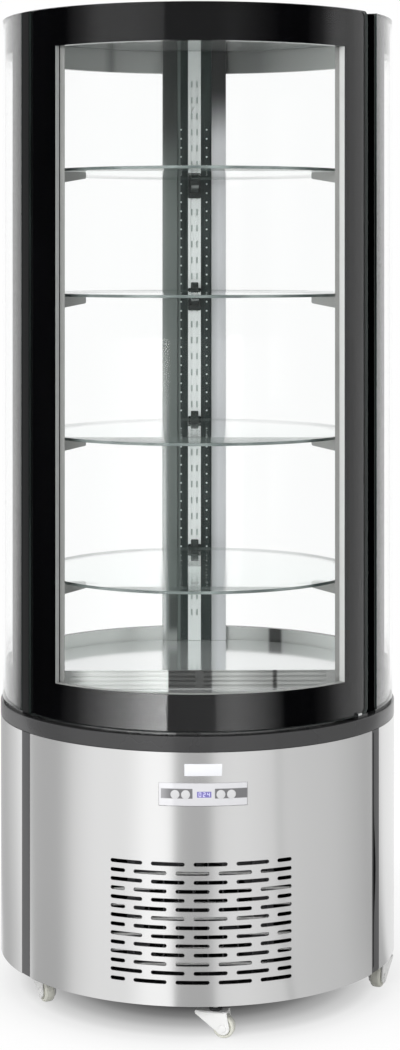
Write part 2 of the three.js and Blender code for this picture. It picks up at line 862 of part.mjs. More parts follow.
// Control plate with the controller's housing behind it, and pockets for the buttons
const controlFace = baseRadius - controlRecess;
const buttonAngles = buttonPlaces.map((place) => span(place, baseRadius));

function controlPlate() {
  const reach = span(controlHalfWidth, baseRadius);
  const plate = wall(
    controlFace - controlThickness,
    controlFace,
    -reach,
    reach,
    controlMiddle - controlHeight / 2,
    controlMiddle + controlHeight / 2,
  );
  const housing = block(
    2 * controllerHalfWidth,
    controllerDepth,
    controlMiddle - controllerHeight / 2,
    controlMiddle + controllerHeight / 2,
    0,
    -(controlFace - controlThickness - controllerDepth / 2) + controllerSag(),
  );
  const pocketFloor = controlFace + buttonProud - buttonLength - buttonTravel - seatGap;
  const pocketRadius = buttonRadius + buttonPlay;
  const pocket = barAlongY(pocketRadius, -baseRadius, -pocketFloor, controlMiddle, roundSides);
  const pockets = buttonAngles.map((angle) => turned(pocket, angle));
  return turned(joined(plate, housing).subtract(joined(...pockets)), controlTurn);
}

// How far the flat housing stands back, so that its corners stay inside the curved plate
function controllerSag() {
  const radius = controlFace - controlThickness;
  return radius - Math.sqrt(radius ** 2 - controllerHalfWidth ** 2);
}

function button() {
  const front = -(controlFace + buttonProud);
  return barAlongY(buttonRadius, front, front + buttonLength, controlMiddle, roundSides);
}

// Castor fork: swept side plates, a head plate, the axle and the stem, trailing towards +X
function castorFork() {
  const inside = wheelWidth / 2 + forkPlay;
  const outline = new THREE.Shape();
  outline.moveTo(-forkHeadFront, forkTop);
  outline.lineTo(-forkHeadFront, forkTop - forkSkirt);
  outline.absarc(castorTrail, wheelRadius, forkNoseRadius, radians(forkNoseStart), radians(360), false);
  outline.lineTo(forkHeadBack, forkTop - forkSkirt);
  outline.lineTo(forkHeadBack, forkTop);
  const width = 2 * (inside + forkWall);
  const body = new THREE.ExtrudeGeometry(outline, { depth: width, curveSegments: 2, bevelEnabled: false });
  body.rotateX(Math.PI / 2).translate(0, width / 2, 0);
  const reach = 2 * (castorTrail + forkNoseRadius + forkHeadFront);
  const room = block(reach, 2 * inside, -cutOverrun, forkTop - forkWall);
  const axle = new THREE.CylinderGeometry(axleRadius, axleRadius, 2 * (inside + weld), pinSides);
  const cap = new THREE.CylinderGeometry(axleCapRadius, axleCapRadius, forkWall + axleCapProud, pinSides);
  const caps = [-1, 1].map((side) => {
    const middle = side * (inside + (forkWall + axleCapProud) / 2);
    return solid(cap.clone().translate(castorTrail, middle, wheelRadius));
  });
  const flangeTop = panBottom - seatGap;
  const flange = bar(stemFlangeRadius, flangeTop - stemFlangeHeight, flangeTop);
  const stem = bar(stemRadius, forkTop - weld, stemTop);
  const fork = solid(body).subtract(room);
  return joined(fork, solid(axle.translate(castorTrail, 0, wheelRadius)), ...caps, flange, stem);
}

// Castor wheel, about its own axle, with one flat straight down
function castorWheel() {
  const rim = wheelRadius / Math.cos(Math.PI / wheelSides);
  const half = wheelWidth / 2;
  const profile = [
    new THREE.Vector2(axleBore, -half),
    new THREE.Vector2(rim - wheelShoulder, -half),
    new THREE.Vector2(rim, -half + wheelShoulder),
    new THREE.Vector2(rim, half - wheelShoulder),
    new THREE.Vector2(rim - wheelShoulder, half),
    new THREE.Vector2(axleBore, half),
    new THREE.Vector2(axleBore, -half),
  ];
  const geometry = new THREE.LatheGeometry(profile, wheelSides);
  return solid(geometry.rotateY(Math.PI / wheelSides));
}

// A finned block: plates on a spine along the back, in plan, raised between two heights
function finBlock(halfWidth, depth, bottom, top) {
  const count = Math.floor((2 * halfWidth - finThickness) / finPitch) + 1;
  const first = -((count - 1) * finPitch + finThickness) / 2;
  const points = [new THREE.Vector2(-first, 0), new THREE.Vector2(first, 0)];
  for (let i = 0; i < count; i++) {
    const x = first + i * finPitch;
    if (i > 0) points.push(new THREE.Vector2(x, -finSpine));
    points.push(new THREE.Vector2(x, -depth), new THREE.Vector2(x + finThickness, -depth));
    if (i < count - 1) points.push(new THREE.Vector2(x + finThickness, -finSpine));
  }
  return prism(points, bottom, top);
}

// Condenser behind the louvre, with the fan shroud, its struts and the motor
const machineFloor = panTop + machineGap;
const condenserBack = condenserDepth + condenserPlay + socketRadius - castorCircle;
const fanHeight = machineFloor + condenserHeight / 2;
const shroudBack = condenserBack + shroudThickness + shroudRingLength;

function condenser() {
  const top = machineFloor + condenserHeight;
  const fins = finBlock(condenserHalfWidth, condenserDepth, machineFloor, top);
  const plate = block(
    2 * condenserHalfWidth,
    shroudThickness + weld,
    machineFloor,
    top,
    0,
    condenserBack + (shroudThickness - weld) / 2,
  );
  const plateBack = condenserBack + shroudThickness;
  const throatFront = condenserBack - finSpine - cutOverrun;
  const throat = barAlongY(shroudRingRadius, throatFront, shroudBack + cutOverrun, fanHeight, roundSides);
  const tube = barAlongY(
    shroudRingRadius + shroudRingWall,
    plateBack - weld,
    shroudBack,
    fanHeight,
    roundSides,
  );
  const strutLength = shroudRingRadius + shroudRingWall;
  const strutBox = new THREE.BoxGeometry(strutLength, motorStrutThickness, motorStrutWidth);
  strutBox.translate(strutLength / 2, 0, 0);
  const struts = [30, 150, 270].map((angle) => {
    const strut = strutBox.clone().rotateY(radians(angle));
    return solid(strut.translate(0, shroudBack - motorStrutThickness / 2, fanHeight));
  });
  const motorFront = shroudBack - motorStrutThickness;
  const motor = barAlongY(motorRadius, motorFront, motorFront + motorLength, fanHeight);
  const shaft = barAlongY(fanShaftRadius, motorFront - fanHubLength, motorFront + weld, fanHeight);
  const finned = fins.translate([0, condenserBack, 0]);
  return joined(joined(finned, plate, tube).subtract(throat), ...struts, motor, shaft);
}

function condenserFan() {
  const back = shroudBack - motorStrutThickness - machineGap;
  const hub = barAlongY(fanHubRadius, back - fanHubLength, back, fanHeight);
  const bore = barAlongY(fanBoreRadius, back - fanHubLength - cutOverrun, back + cutOverrun, fanHeight);
  const length = fanBladeRadius - fanHubRadius + finThickness;
  const blade = new THREE.BoxGeometry(length, fanBladeThickness, fanBladeChord);
  blade.rotateX(radians(fanBladePitch)).translate(fanBladeRadius - length / 2, 0, 0);
  const blades = Array.from({ length: fanBladeCount }, (_, i) => {
    const turnedBlade = blade.clone().rotateY((i * 2 * Math.PI) / fanBladeCount);
    return solid(turnedBlade.translate(0, back - fanHubLength / 2, fanHeight));
  });
  return joined(hub, ...blades).subtract(bore);
}

function compressor() {
  const footTop = machineFloor + compressorFootThickness;
  const foot = block(compressorFoot, compressorFoot / 2, machineFloor, footTop);
  const profile = new THREE.Shape();
  profile.moveTo(0, footTop - weld);
  profile.lineTo(compressorRadius, footTop - weld);
  profile.lineTo(compressorRadius, machineFloor + compressorHeight - compressorDome);
  profile.quadraticCurveTo(
    compressorRadius,
    machineFloor + compressorHeight,
    0,
    machineFloor + compressorHeight,
  );
  const outline = [...profile.getPoints(4), new THREE.Vector2(0, footTop - weld)];
  const can = new THREE.LatheGeometry(outline, roundSides);
  return joined(foot, solid(can.rotateX(Math.PI / 2))).translate([compressorOffsetX, compressorOffsetY, 0]);
}

function evaporator() {
  const top = deckTop - sheetThickness - seatGap;
  const fins = finBlock(evaporatorHalfWidth, evaporatorHeight, -evaporatorDepth / 2, evaporatorDepth / 2);
  return fins.rotate([90, 0, 0]).translate([0, 0, top]);
}

// The base
add("base_frame", baseFrame(), "darkFrame");
add("base_panel_front", frontPanel(), "brushedSteel");
add("base_panel_right", sidePanel(uprightAngle + uprightTurn), "brushedSteel");
add("base_panel_left", mirrored(sidePanel(uprightAngle - uprightTurn)), "brushedSteel");
add("collar_ring", collarRing(), "darkFrame");

// The controls
add("control_plate", controlPlate(), "controlFilm");
const buttonShape = surface(button());
buttonAngles.forEach((angle, i) => {
  add(`button_${i + 1}`, buttonShape, "controlFilm").rotation.z = radians(controlTurn + angle);
});

// The machinery
add("compressor", compressor(), "machineBlack");
add("condenser", condenser(), "fins");
add("condenser_fan", condenserFan(), "machineBlack");
add("evaporator", evaporator(), "fins");

// The cabinet
add("deck", deck(), "polishedSteel");
add("top_cap", topCap(), "machineBlack");
add("ceiling_panel", ceilingPanel(), "polishedSteel");
add("post_right", joined(slottedPost(), postCover()), "machineBlack");
add("post_left", mirrored(slottedPost()), "machineBlack");
add("rear_column", rearColumn(), "polishedSteel");
add("rear_standard", rearStandard(), "brightPaint");
add("led_strip_left", ledStrip(-1), "machineBlack");
add("led_strip_right", ledStrip(1), "machineBlack");

// The fixed glass
const fixed = fixedUnit();
add("side_outer_glass_right", fixed.outer, "glass");
add("side_spacer_right", fixed.frame, "blackBorder");
add("side_inner_glass_right", fixed.inner, "glass");
add("side_outer_glass_left", mirrored(fixed.outer), "glass");
add("side_spacer_left", mirrored(fixed.frame), "blackBorder");
add("side_inner_glass_left", mirrored(fixed.inner), "glass");

// The door
const leaf = door();
add("door_outer_glass", leaf.outer, "glass");
add("door_frame", leaf.frame, "blackBorder");
add("door_inner_glass", leaf.inner, "glass");
add("door_gasket", doorGasket(), "rubber");
add("door_grip", doorGrip(), "darkFrame");

// The shelves and their brackets
const shelfShape = surface(bar(shelfRadius, 0, shelfThickness, 0, 0, shelfSides));
const postBracket = surface(bracket(postHooks));
const rearBracket = surface(bracket(standardHooks));
const bracketPlaces = [
  ["left", postBracket, -postAngle],
  ["right", postBracket, postAngle],
  ["rear", rearBracket, 180],
];
const topShelfRow = Math.floor((ceilingBottom - topShelfRoom - firstUnderside) / slotRowPitch);
shelfRowShares.forEach((share, i) => {
  const level = new THREE.Group();
  level.position.z = firstUnderside + Math.round(share * topShelfRow) * slotRowPitch;
  add(`shelf_${i + 1}`, shelfShape, "glass", level);
  for (const [side, shape, angle] of bracketPlaces) {
    add(`bracket_${i + 1}_${side}`, shape, "darkFrame", level).rotation.z = radians(angle);
  }
  cabinet.add(level);
});

// The castors
const forkShape = surface(castorFork());
const wheelShape = surface(castorWheel());
castorPlaces.forEach((place, i) => {
  const castor = new THREE.Group();
  castor.position.set(place.x, place.y, 0);
  castor.rotation.z = radians(castorHeadings[i]);
  add(`castor_fork_${i + 1}`, forkShape, "castorPlastic", castor);
  const wheel = add(`castor_wheel_${i + 1}`, wheelShape, "wheelPlastic", castor);
  wheel.position.set(castorTrail, 0, wheelRadius);
  cabinet.add(castor);
});

export default cabinet;
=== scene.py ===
"""A round refrigerated display cabinet on castors: curved glass, glass shelves and a louvred steel base.

Lengths are in metres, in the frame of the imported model: +Z up, the front at -Y. Angles are in degrees, from
the front towards +X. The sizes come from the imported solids; what a solid doesn't carry has a name below.
"""
import math

import bmesh
import bpy
from mathutils import Matrix, Vector


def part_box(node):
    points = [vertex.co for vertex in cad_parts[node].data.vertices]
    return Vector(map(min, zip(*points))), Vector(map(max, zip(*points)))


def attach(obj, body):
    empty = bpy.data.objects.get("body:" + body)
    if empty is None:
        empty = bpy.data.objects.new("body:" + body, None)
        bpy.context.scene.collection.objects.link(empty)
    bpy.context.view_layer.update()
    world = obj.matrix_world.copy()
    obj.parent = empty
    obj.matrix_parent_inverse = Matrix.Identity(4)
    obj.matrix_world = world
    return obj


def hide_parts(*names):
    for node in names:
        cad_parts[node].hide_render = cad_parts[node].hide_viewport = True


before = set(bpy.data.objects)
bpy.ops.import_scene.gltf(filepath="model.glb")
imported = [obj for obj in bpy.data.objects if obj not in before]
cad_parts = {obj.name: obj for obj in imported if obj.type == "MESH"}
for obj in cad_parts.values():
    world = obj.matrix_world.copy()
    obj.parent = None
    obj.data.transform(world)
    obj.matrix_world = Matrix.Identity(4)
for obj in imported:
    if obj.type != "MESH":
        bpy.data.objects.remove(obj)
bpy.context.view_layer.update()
scene = bpy.context.scene

# Camera, from the photograph: its frame, and where the cabinet stands in it
CAMERA_DISTANCE, CAMERA_HEIGHT, CAMERA_AZIMUTH = 3.86, 1.254, -1.1
LENS = 75.98
SHIFT_X, SHIFT_Y = 0.0024, -0.257

# Angles and borders of the glass, and the strips in the reveals: -1 is a window's left side, 1 its right
DOOR_START, DOOR_END = -56.8, 55.6
DOOR_WINDOW_HALF = 45.2
FIXED_START, FIXED_END = 61.3, 179.83
FIXED_WINDOW_START, FIXED_WINDOW_END = 70.4, 169.83
TOP_BORDER, LOWER_BORDER = 0.062, 0.0595
DOOR_CORNER, CORNER_STEPS = 0.012, 8
SPACER_DEPTHS = {-1: 0.0068, 1: 0.0103}
SPACER_WALL, SPACER_RAIL = 0.0012, 0.0008
REVEAL_WIDTHS = {-1: 0.0106, 1: 0.0115}
REVEAL_FACE = 0.3234
REVEAL_THICKNESS = 0.0008

# The door's seal, pivots, keeper and grip
GASKET_ANGLE = 54.03
GASKET_WIDTH, GASKET_LIP, GASKET_ROUND = 0.012, 0.004, 0.0015
PIVOT_ANGLE, PIVOT_RADIUS = 54.2, 0.328
PIN_RADIUS = 0.0026
LOWER_PIN_DROP = 0.010
UPPER_PIN_REACH, UPPER_PIN_SINK = 0.0075, 0.0013
KEEPER_START, KEEPER_END = 50.5, 52.1
KEEPER_LOW, KEEPER_HIGH = 0.4950, 0.4985
KEEPER_NEAR, KEEPER_PROUD = 0.0001, 0.0009
GRIP_START, GRIP_END = -56.85, -60.85
GRIP_WALL, GRIP_LIP, GRIP_STEP = 0.002, 0.009, 0.8

# Base: collar, panels, trims, louvre and wire guard
BASE_RADIUS = 0.341
BASE_LOW = 0.060
COLLAR_INNER = 0.300
RING_DROP, SEAT_DROP = 0.006, 0.0064
SEAT_RING, SEAT_START = (0.322, 0.334), 0.004
PAD_RING, PAD_HALF = (0.3195, 0.3365), 0.019
PANEL_SKIN, PANEL_THICKNESS, PANEL_PLAY = 0.0003, 0.002, 0.0004
PANEL_RETURN, RETURN_LIFT, RETURN_WELD = 0.010, 0.019, 0.0002
UPRIGHT_ANGLE, UPRIGHT_TURN, UPRIGHT_HALF = 58.6, 0.9, 0.0132
TRIM_SINK, TRIM_THICKNESS, TRIM_LIFT = 0.0001, 0.0016, 0.0012
LOUVRE_TOP, LOUVRE_ROWS, LOUVRE_ROW_PITCH = 0.2259, 14, 0.01444
LOUVRE_HALF = 0.150
SLOT_LENGTH, SLOT_HEIGHT, SLOT_PITCH, SHORTEST_SLOT = 0.0545, 0.0062, 0.0686, 0.012
VENT_ROWS, VENT_SETBACK = 4, 0.060
GUARD_BARS, GUARD_TOP, GUARD_PITCH = 7, 0.2588, 0.0243
GUARD_PLACE, GUARD_RADIUS = -0.291, 0.0022

# The dark strip of painted shadow that bulges beside the right trim: its ends, and its width in shares of the
# trim's half angle
BULGE_FOOT, BULGE_HEAD, BULGE_STEPS = 0.010, 0.004, 24
BULGE_START_SHARE, SLIM_SHARE, WIDE_SHARE = 0.72, 0.16, 0.50
WIDEST_SHARE, SPREAD_SHARE = 0.42, 0.16
BULGE_SINK, BULGE_PROUD = 0.0004, 0.0001

# Controls and the plain plate above them
CONTROL_TURN = 0.45
CONTROL_HALF, CONTROL_RECESS, CONTROL_THICKNESS = 0.071, 0.0006, 0.002
CASE_SETBACK, CASE_DEPTH, CASE_HALF_WIDTH, CASE_HALF_HEIGHT = 0.0052, 0.0215, 0.054, 0.013
FIELD_LOW, FIELD_HIGH = 0.3906, 0.4062
LEFT_FIELD, RIGHT_FIELD = (-0.068, -0.0172), (0.0186, 0.0709)
DISPLAY_FIELD, DISPLAY_LOW, DISPLAY_HIGH = (-0.010, 0.013), 0.3922, 0.4017
PRINT_BLUR = 0.0006
FIGURES, FIGURE_PITCH, FIGURE_SIZE, FIGURE_PROUD = "024", 0.0068, 0.0062, 0.0002
FIGURE_WIDTH_SHARE, BAR_SHARE = 0.5, 0.13
LIT_BARS = {"0": "abcdef", "2": "abged", "4": "fgbc"}
BUTTON_PLACES = (-0.0452, -0.0282, 0.0282, 0.0452)
BUTTON_RADIUS, BUTTON_LENGTH, BUTTON_PROUD, BUTTON_DOME = 0.0072, 0.0058, 0.0008, 0.0004
BADGE_MIDDLE, BADGE_HALF_LENGTH, BADGE_HALF_HEIGHT, PLATE_PROUD = 0.4362, 0.030, 0.0095, 0.0003

# Interior: column, standard, lights, shelves, brackets and the plate behind the sill
POST_ANGLE = 59.0
UPRIGHT_FACE = 0.297
COLUMN_HALF, COLUMN_FRONT, COLUMN_DEPTH, COLUMN_WALL = 0.059, 0.298, 0.013, 0.0015
RECESS_HALF, RECESS_DEPTH, RECESS_SHOWS = 0.032, 0.006, 0.0012
STANDARD_HALF, STANDARD_WALL, STANDARD_END = 0.012, 0.0015, 0.05
SLOT_WIDTH, SLOT_TALL, SLOT_ROW_PITCH, HOOK_SPREAD = 0.0032, 0.012, 0.030, 0.005
LINING_SETBACK, LINING_THICKNESS, LINING_PLAY, LINING_END = 0.0048, 0.0012, 0.0002, 0.001
LIGHT_PITCH, LIGHT_RADIUS, LIGHT_ASIDE = 0.017, 0.0017, 0.001
LIGHT_SINK, LIGHT_RISE, LIGHT_SOFT, LIGHT_DOME = 0.0004, 0.0003, 0.0003, 0.0003
SHELVES = (1, 2, 3, 4)
SHELF_RADIUS = 0.272
BRACKET_SIDES = {"left": -POST_ANGLE, "right": POST_ANGLE, "rear": 180.0}
BRACKET_REACH, BRACKET_WIDTH, BRACKET_ROOT, BRACKET_TIP = 0.0715, 0.014, 0.023, 0.0115
BRACKET_PLATE, BRACKET_PLATE_WIDTH, BRACKET_DROP, BRACKET_RISE = 0.003, 0.024, 0.034, 0.008
BRACKET_WELD = 0.001
LUG_RISE, LUG_THICKNESS, LUG_PLAY = 0.019, 0.008, 0.001
HOOK_HALF_WIDTH, HOOK_HALF_HEIGHT, HOOK_REACH, HOOK_WELD = 0.0012, 0.005, 0.0033, 0.0004
RIVET_RADIUS, RIVET_HEIGHT, RIVET_DOME, RIVET_SINK = 0.0028, 0.0011, 0.0003, 0.0002
RIVET_ASIDE, RIVET_PLACES = 0.0092, (-0.026, -0.012)
SILL_HALF, SILL_PLACE, SILL_THICKNESS = 0.232, -0.1637, 0.0008
SILL_LOW, SILL_HIGH = 0.5325, 0.5608

# Castors, each with its setback as a share, its place round the base and its heading
CASTOR_SETBACK = 0.0365
CASTOR_SETBACK_SHARES = (1, 0.63, 1, 1, 1.5)
CASTOR_ANGLES = (4.4, 80.5, 148.0, 220.0, 293.9)
CASTOR_HEADINGS = (-15.0, -115.0, 200.0, 130.0, -65.0)
CASTOR_TRAIL = 0.014
FORK_TOP, FORK_HEAD_FRONT, FORK_HEAD_BACK = 0.044, 0.0315, 0.021
FORK_NOSE, FORK_WALL, FORK_PLAY, FORK_SKIRT, FORK_ROUND = 0.011, 0.003, 0.0008, 0.005, 0.006
NOSE_START, NOSE_TURN = 216.0, 144.0
AXLE_RADIUS, AXLE_CAP, AXLE_CAP_PROUD, AXLE_CAP_GAP = 0.003, 0.006, 0.002, 0.0004
STEM_RADIUS, STEM_WELD, STEM_TOP = 0.005, 0.0005, 0.081
FLANGE_RADIUS, FLANGE_LOW, FLANGE_HIGH = 0.009, 0.0557, 0.0607
RACE_RADIUS, RACE_WELD, RACE_HIGH = 0.0105, 0.0002, 0.0480
WHEEL_RADIUS, WHEEL_WIDTH = 0.018, 0.018
# One side of the wheel from its bore to its tread, as (radius, inset): hub, dish, rim and rounded tread
WHEEL_SIDE = (
    (0.0034, 0.0), (0.0070, 0.0), (0.0082, 0.0022), (0.0118, 0.0022), (0.0130, 0.0002),
    (WHEEL_RADIUS - 0.0030, 0.0002), (WHEEL_RADIUS - 0.0008, 0.0022), (WHEEL_RADIUS, 0.0052),
)

# Small sizes of the fine pieces
ARC_STEP, FINE_STEP = 1.5, 0.5
EDGE_SOFT, THIN_SOFT = 0.0006, 0.0002
SEAT_GAP = 0.0003
FLAT_SMOOTH = 15.0
FACES_STRAIGHT = 0.9
SIDES = {"right": 1, "left": -1}

# The floor: its painted shadow under the cabinet ends between two distances, and a painted shade dims
# reflections close to the base
FLOOR_RADIUS, FLOOR_DEPTH = 30.0, 0.02
BLACK, WHITE = (0.0, 0.0, 0.0), (1.0, 1.0, 1.0)
FLOOR_SHADED = 0.2
SHADOW_NEAR, SHADOW_FAR = 0.75, 1.6
DIM_NEAR, DIM_FAR, DIM_LEVEL = 0.7, 1.2, 0.95
# The steel's pattern fans out near the base, by this share of the full fan, and by half of that on the right
STEEL_FAN, RIGHT_FAN_SHARE = 0.926, 0.5
DAYLIGHT = 0.62
# The floor's brightness to the camera by distance from the middle: the cabinet's shadow, painted into the
# floor's glow
FLOOR_PAINTED_SHADOW = (
    (0.17, 0.06), (0.19, 0.12), (0.21, 0.18), (0.23, 0.30), (0.25, 0.39), (0.27, 0.52),
    (0.29, 0.60), (0.31, 0.73), (0.33, 0.745), (0.40, 0.78), (0.75, 0.82), (1.00, 0.88),
)

# What the room shows by bearing, as (bearing, level): its walls and its floor to glass, all of it to steel
GLASS_WALLS = (
    (-180, 1.0), (-132, 1.0), (-118, 0.0), (-84, 0.0), (-72, 0.33), (-60, 0.92), (-38, 0.94), (-23, 0.74),
    (-20.5, 0.66), (-19.5, 0.24), (8, 0.26), (19, 0.34), (36, 0.13), (48, 0.0), (66, 0.0), (76, 0.2),
    (86, 0.95), (92, 0.93), (97, 0.76), (110, 0.75), (130, 1.0), (180, 1.0),
)
GLASS_FLOOR = (
    (-180, 1.0), (-132, 1.0), (-118, 0.0), (-84, 0.0), (-72, 0.25), (-58, 1.4), (-40, 3.5), (-28, 6.4),
    (-18, 8.2), (-17, 0.55), (8, 0.6), (10, 1.6), (19, 2.1), (34, 1.15), (48, 0.0), (66, 0.0),
    (76, 0.15), (88, 0.7), (100, 0.7), (130, 1.0), (180, 1.0),
)
STEEL_ROOM = (
    (-180, 0.95), (-170, 0.9), (-163, 0.5), (-142, 0.48), (-126, 0.68), (-114, 0.95), (-110, 0.9),
    (-107, 0.45), (-84, 0.45), (-80, 0.49), (-76, 0.6), (-72, 0.72), (-66, 0.8), (-58, 0.87),
    (-39, 0.88), (-28, 1.1),
    (-14.2, 1.12), (-13.0, 0.46), (5.5, 0.44), (7.5, 0.76), (19, 0.8), (36, 0.72), (40, 0.72), (42, 0.45),
    (44.5, 0.66), (55, 0.63), (76, 0.6), (96, 0.5), (104, 0.44), (116, 0.46), (124, 0.85), (180, 0.95),
)

# Painted reflections: bands of light and dark that the sill and the borders' linings show in place of their
# mirror images, as (distance from the middle, level)
SILL_PAINTED_REFLECTIONS = (
    (-0.23, 0.90), (-0.18, 0.92), (-0.12, 0.78), (-0.066, 0.97), (-0.053, 0.97), (-0.051, 0.10),
    (0.020, 0.10), (0.022, 0.46), (0.060, 0.60), (0.110, 0.40), (0.121, 0.40), (0.124, 0.07),
    (0.128, 0.07), (0.131, 0.44), (0.20, 0.50),
)
TOP_LINING_PAINTED_REFLECTIONS = (
    (-0.25, 0.50), (-0.17, 0.48), (-0.155, 0.26), (-0.145, 0.46), (-0.13, 0.52), (-0.09, 0.56), (-0.05, 0.60),
    (-0.04, 0.20), (0.04, 0.13), (0.08, 0.22), (0.12, 0.26), (0.16, 0.42), (0.25, 0.66),
)
LOWER_LINING_PAINTED_REFLECTIONS = (
    (-0.25, 0.98), (-0.16, 0.96), (-0.12, 0.76), (-0.09, 0.88), (-0.06, 0.98), (0.06, 0.60), (0.10, 0.56),
    (0.137, 0.42), (0.1415, 0.03), (0.160, 0.03), (0.165, 0.38), (0.19, 0.50), (0.25, 0.72),
)


def heights(node):
    """The lowest and highest point of a CAD node."""
    low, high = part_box(node)
    return low.z, high.z


def front_radius(node):
    """How far a CAD node reaches to the front."""
    return -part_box(node)[0].y


GLASS_RADIUS, FRAME_RADIUS = front_radius("door_outer_glass"), front_radius("door_frame")
INNER_PANE_RADIUS = front_radius("door_inner_glass")
PANE = GLASS_RADIUS - FRAME_RADIUS - SEAT_GAP
INNER_RADIUS = INNER_PANE_RADIUS - PANE
GLASS_LOW, GLASS_HIGH = heights("door_outer_glass")
WINDOW_LOW, WINDOW_HIGH = GLASS_LOW + LOWER_BORDER, GLASS_HIGH - TOP_BORDER
COLLAR_LOW, COLLAR_HIGH = heights("collar_ring")
PANEL_TOP = heights("base_panel_front")[1]
UPRIGHT_LOW, UPRIGHT_HIGH = heights("rear_column")


def polar(radius, angle, z=0.0):
    """The point at a radius and an angle from the front."""
    a = math.radians(angle)
    return Vector((radius * math.sin(a), -radius * math.cos(a), z))


def span(length, radius=BASE_RADIUS):
    """The angle in degrees that a length spans on a radius."""
    return math.degrees(length / radius)


def arc_length(angle, radius=BASE_RADIUS):
    """The length that an angle in degrees spans on a radius."""
    return math.radians(angle) * radius


# Shader maths


def operator(kind, swapped=False):
    """The method of an operator that adds a Math node, with its sides swapped in the reflected form."""

    def method(sock, other):
        sides = (other, sock) if swapped else (sock, other)
        return sock.tree.add("ShaderNodeMath", {"operation": kind}, dict(enumerate(sides)))

    return method


class Sock:
    """A node's output, with the sums that the materials use."""

    def __init__(self, tree, socket):
        self.tree, self.socket = tree, socket

    __add__, __radd__ = operator("ADD"), operator("ADD", True)
    __sub__, __rsub__ = operator("SUBTRACT"), operator("SUBTRACT", True)
    __mul__, __rmul__ = operator("MULTIPLY"), operator("MULTIPLY", True)
    __truediv__, __rtruediv__ = operator("DIVIDE"), operator("DIVIDE", True)
    __pow__, __gt__, arctan2 = operator("POWER"), operator("GREATER_THAN"), operator("ARCTAN2")

    def size(self):
        """The value without its sign."""
        return self.tree.add("ShaderNodeMath", {"operation": "ABSOLUTE"}, {0: self})

    def smooth(self, low, high):
        """0 at low and 1 at high, eased between them."""
        ease = {"interpolation_type": "SMOOTHSTEP"}
        return self.tree.add("ShaderNodeMapRange", ease, Value=self, From_Min=low, From_Max=high)


class Tree:
    """A node tree to build a material or the world in."""

    def __init__(self, owner):
        owner.use_nodes = True
        self.nodes, self.links = owner.node_tree.nodes, owner.node_tree.links
        self.nodes.clear()

    def add(self, kind, settings=None, numbered=None, output=0, **named):
        """One node: its settings first, then the values or links of its sockets, by number or by name."""
        node = self.nodes.new(kind)
        for name, value in (settings or {}).items():
            if name == "stops":
                elements = node.color_ramp.elements
                elements.remove(elements[1])
                elements[0].position = value[0][0]
                elements[0].color = (*value[0][1], 1.0)
                for position, colour in value[1:]:
                    elements.new(position).color = (*colour, 1.0)
            else:
                setattr(node, name, value)
        for key, value in {**(numbered or {}), **named}.items():
            slot = node.inputs[key.replace("_", " ") if isinstance(key, str) else key]
            if isinstance(value, Sock):
                self.links.new(value.socket, slot)
            else:
                slot.default_value = (*value, 1.0) if slot.type == "RGBA" else value
        return Sock(self, node.outputs[output]) if node.outputs else None

    def ramp(self, factor, stops):
        """A colour ramp through (position, colour) stops."""
        return self.add("ShaderNodeValToRGB", {"stops": stops}, Fac=factor)

    def mix(self, factor, first, second):
        """One colour over another."""
        return self.add("ShaderNodeMix", {"data_type": "RGBA"}, {0: factor, 6: first, 7: second}, output=2)

    def place(self, space="Object"):
        """The point's x, y and z: metres on a piece, or a direction in the world."""
        point = self.add("ShaderNodeTexCoord", output=space)
        x = self.add("ShaderNodeSeparateXYZ", Vector=point)
        return [Sock(self, output) for output in x.socket.node.outputs]

    def around(self, space="Object"):
        """The angle from the front in degrees, and the height."""
        x, y, z = self.place(space)
        return x.arctan2(y * -1.0) * (180.0 / math.pi), z

    def noise(self, scale, stretch=(1.0, 1.0, 1.0), detail=3.0):
        """Noise on the piece, stretched along its axes."""
        point = self.add("ShaderNodeTexCoord", output="Object")
        point = self.add("ShaderNodeMapping", Vector=point, Scale=stretch)
        return self.add("ShaderNodeTexNoise", Vector=point, Scale=scale, Detail=detail)

    def streaks(self, along, up, detail, roughness=0.5):
        """Noise that runs round the cabinet, with its scale per degree and per metre of height."""
        turn, z = self.around()
        point = self.add("ShaderNodeCombineXYZ", X=turn * along, Y=z * up)
        return self.add("ShaderNodeTexNoise", Vector=point, Scale=1.0, Detail=detail, Roughness=roughness)

    def ray(self, kind):
        """1 for rays of this kind, such as Glossy, and 0 for others."""
        return self.add("ShaderNodeLightPath", output=f"Is {kind} Ray")

    def bump(self, height, strength, distance):
        return self.add("ShaderNodeBump", Height=height, Strength=strength, Distance=distance)

    def bands(self, x, stops):
        """Upright bands of grey across a sheet, at distances from the middle."""
        places = [(place * 2.0 + 0.5, (grey, grey * 1.02, grey)) for place, grey in stops]
        return self.ramp(x * 2.0 + 0.5, places)


class Finish(Tree):
    """A material's node tree."""

    def __init__(self, name):
        self.material = bpy.data.materials.new(name)
        super().__init__(self.material)

    def ends_in(self, shader):
        self.add("ShaderNodeOutputMaterial", Surface=shader)
        return self.material

    def surface(self, **sockets):
        """The material, ended in a principled shader with these sockets."""
        return self.ends_in(self.add("ShaderNodeBsdfPrincipled", **sockets))


def times(colour, share):
    return tuple(c * share for c in colour)


def grained_metal(name, colour, roughness, grain, anisotropic=0.0, metallic=1.0):
    """Sheet metal: fine grain that runs round the cabinet, and faint cloudy smudges."""
    tree = Finish(name)
    lines = tree.streaks(0.05, 700.0, 4.0, 0.6)
    clouds = tree.noise(3.0, (1.0, 1.0, 0.5), 2.0)
    shade = tree.ramp(clouds, [(0.3, times(colour, 0.96)), (0.7, colour)])
    return tree.surface(
        Base_Color=tree.mix(lines * grain, shade, times(colour, 0.82)),
        Metallic=metallic,
        Roughness=(clouds - 0.5) * 0.04 + (lines - 0.5) * grain * 0.2 + roughness,
        Anisotropic=anisotropic,
        Anisotropic_Rotation=0.25,
        Normal=tree.bump(lines, 0.05 * grain, 0.0003),
    )


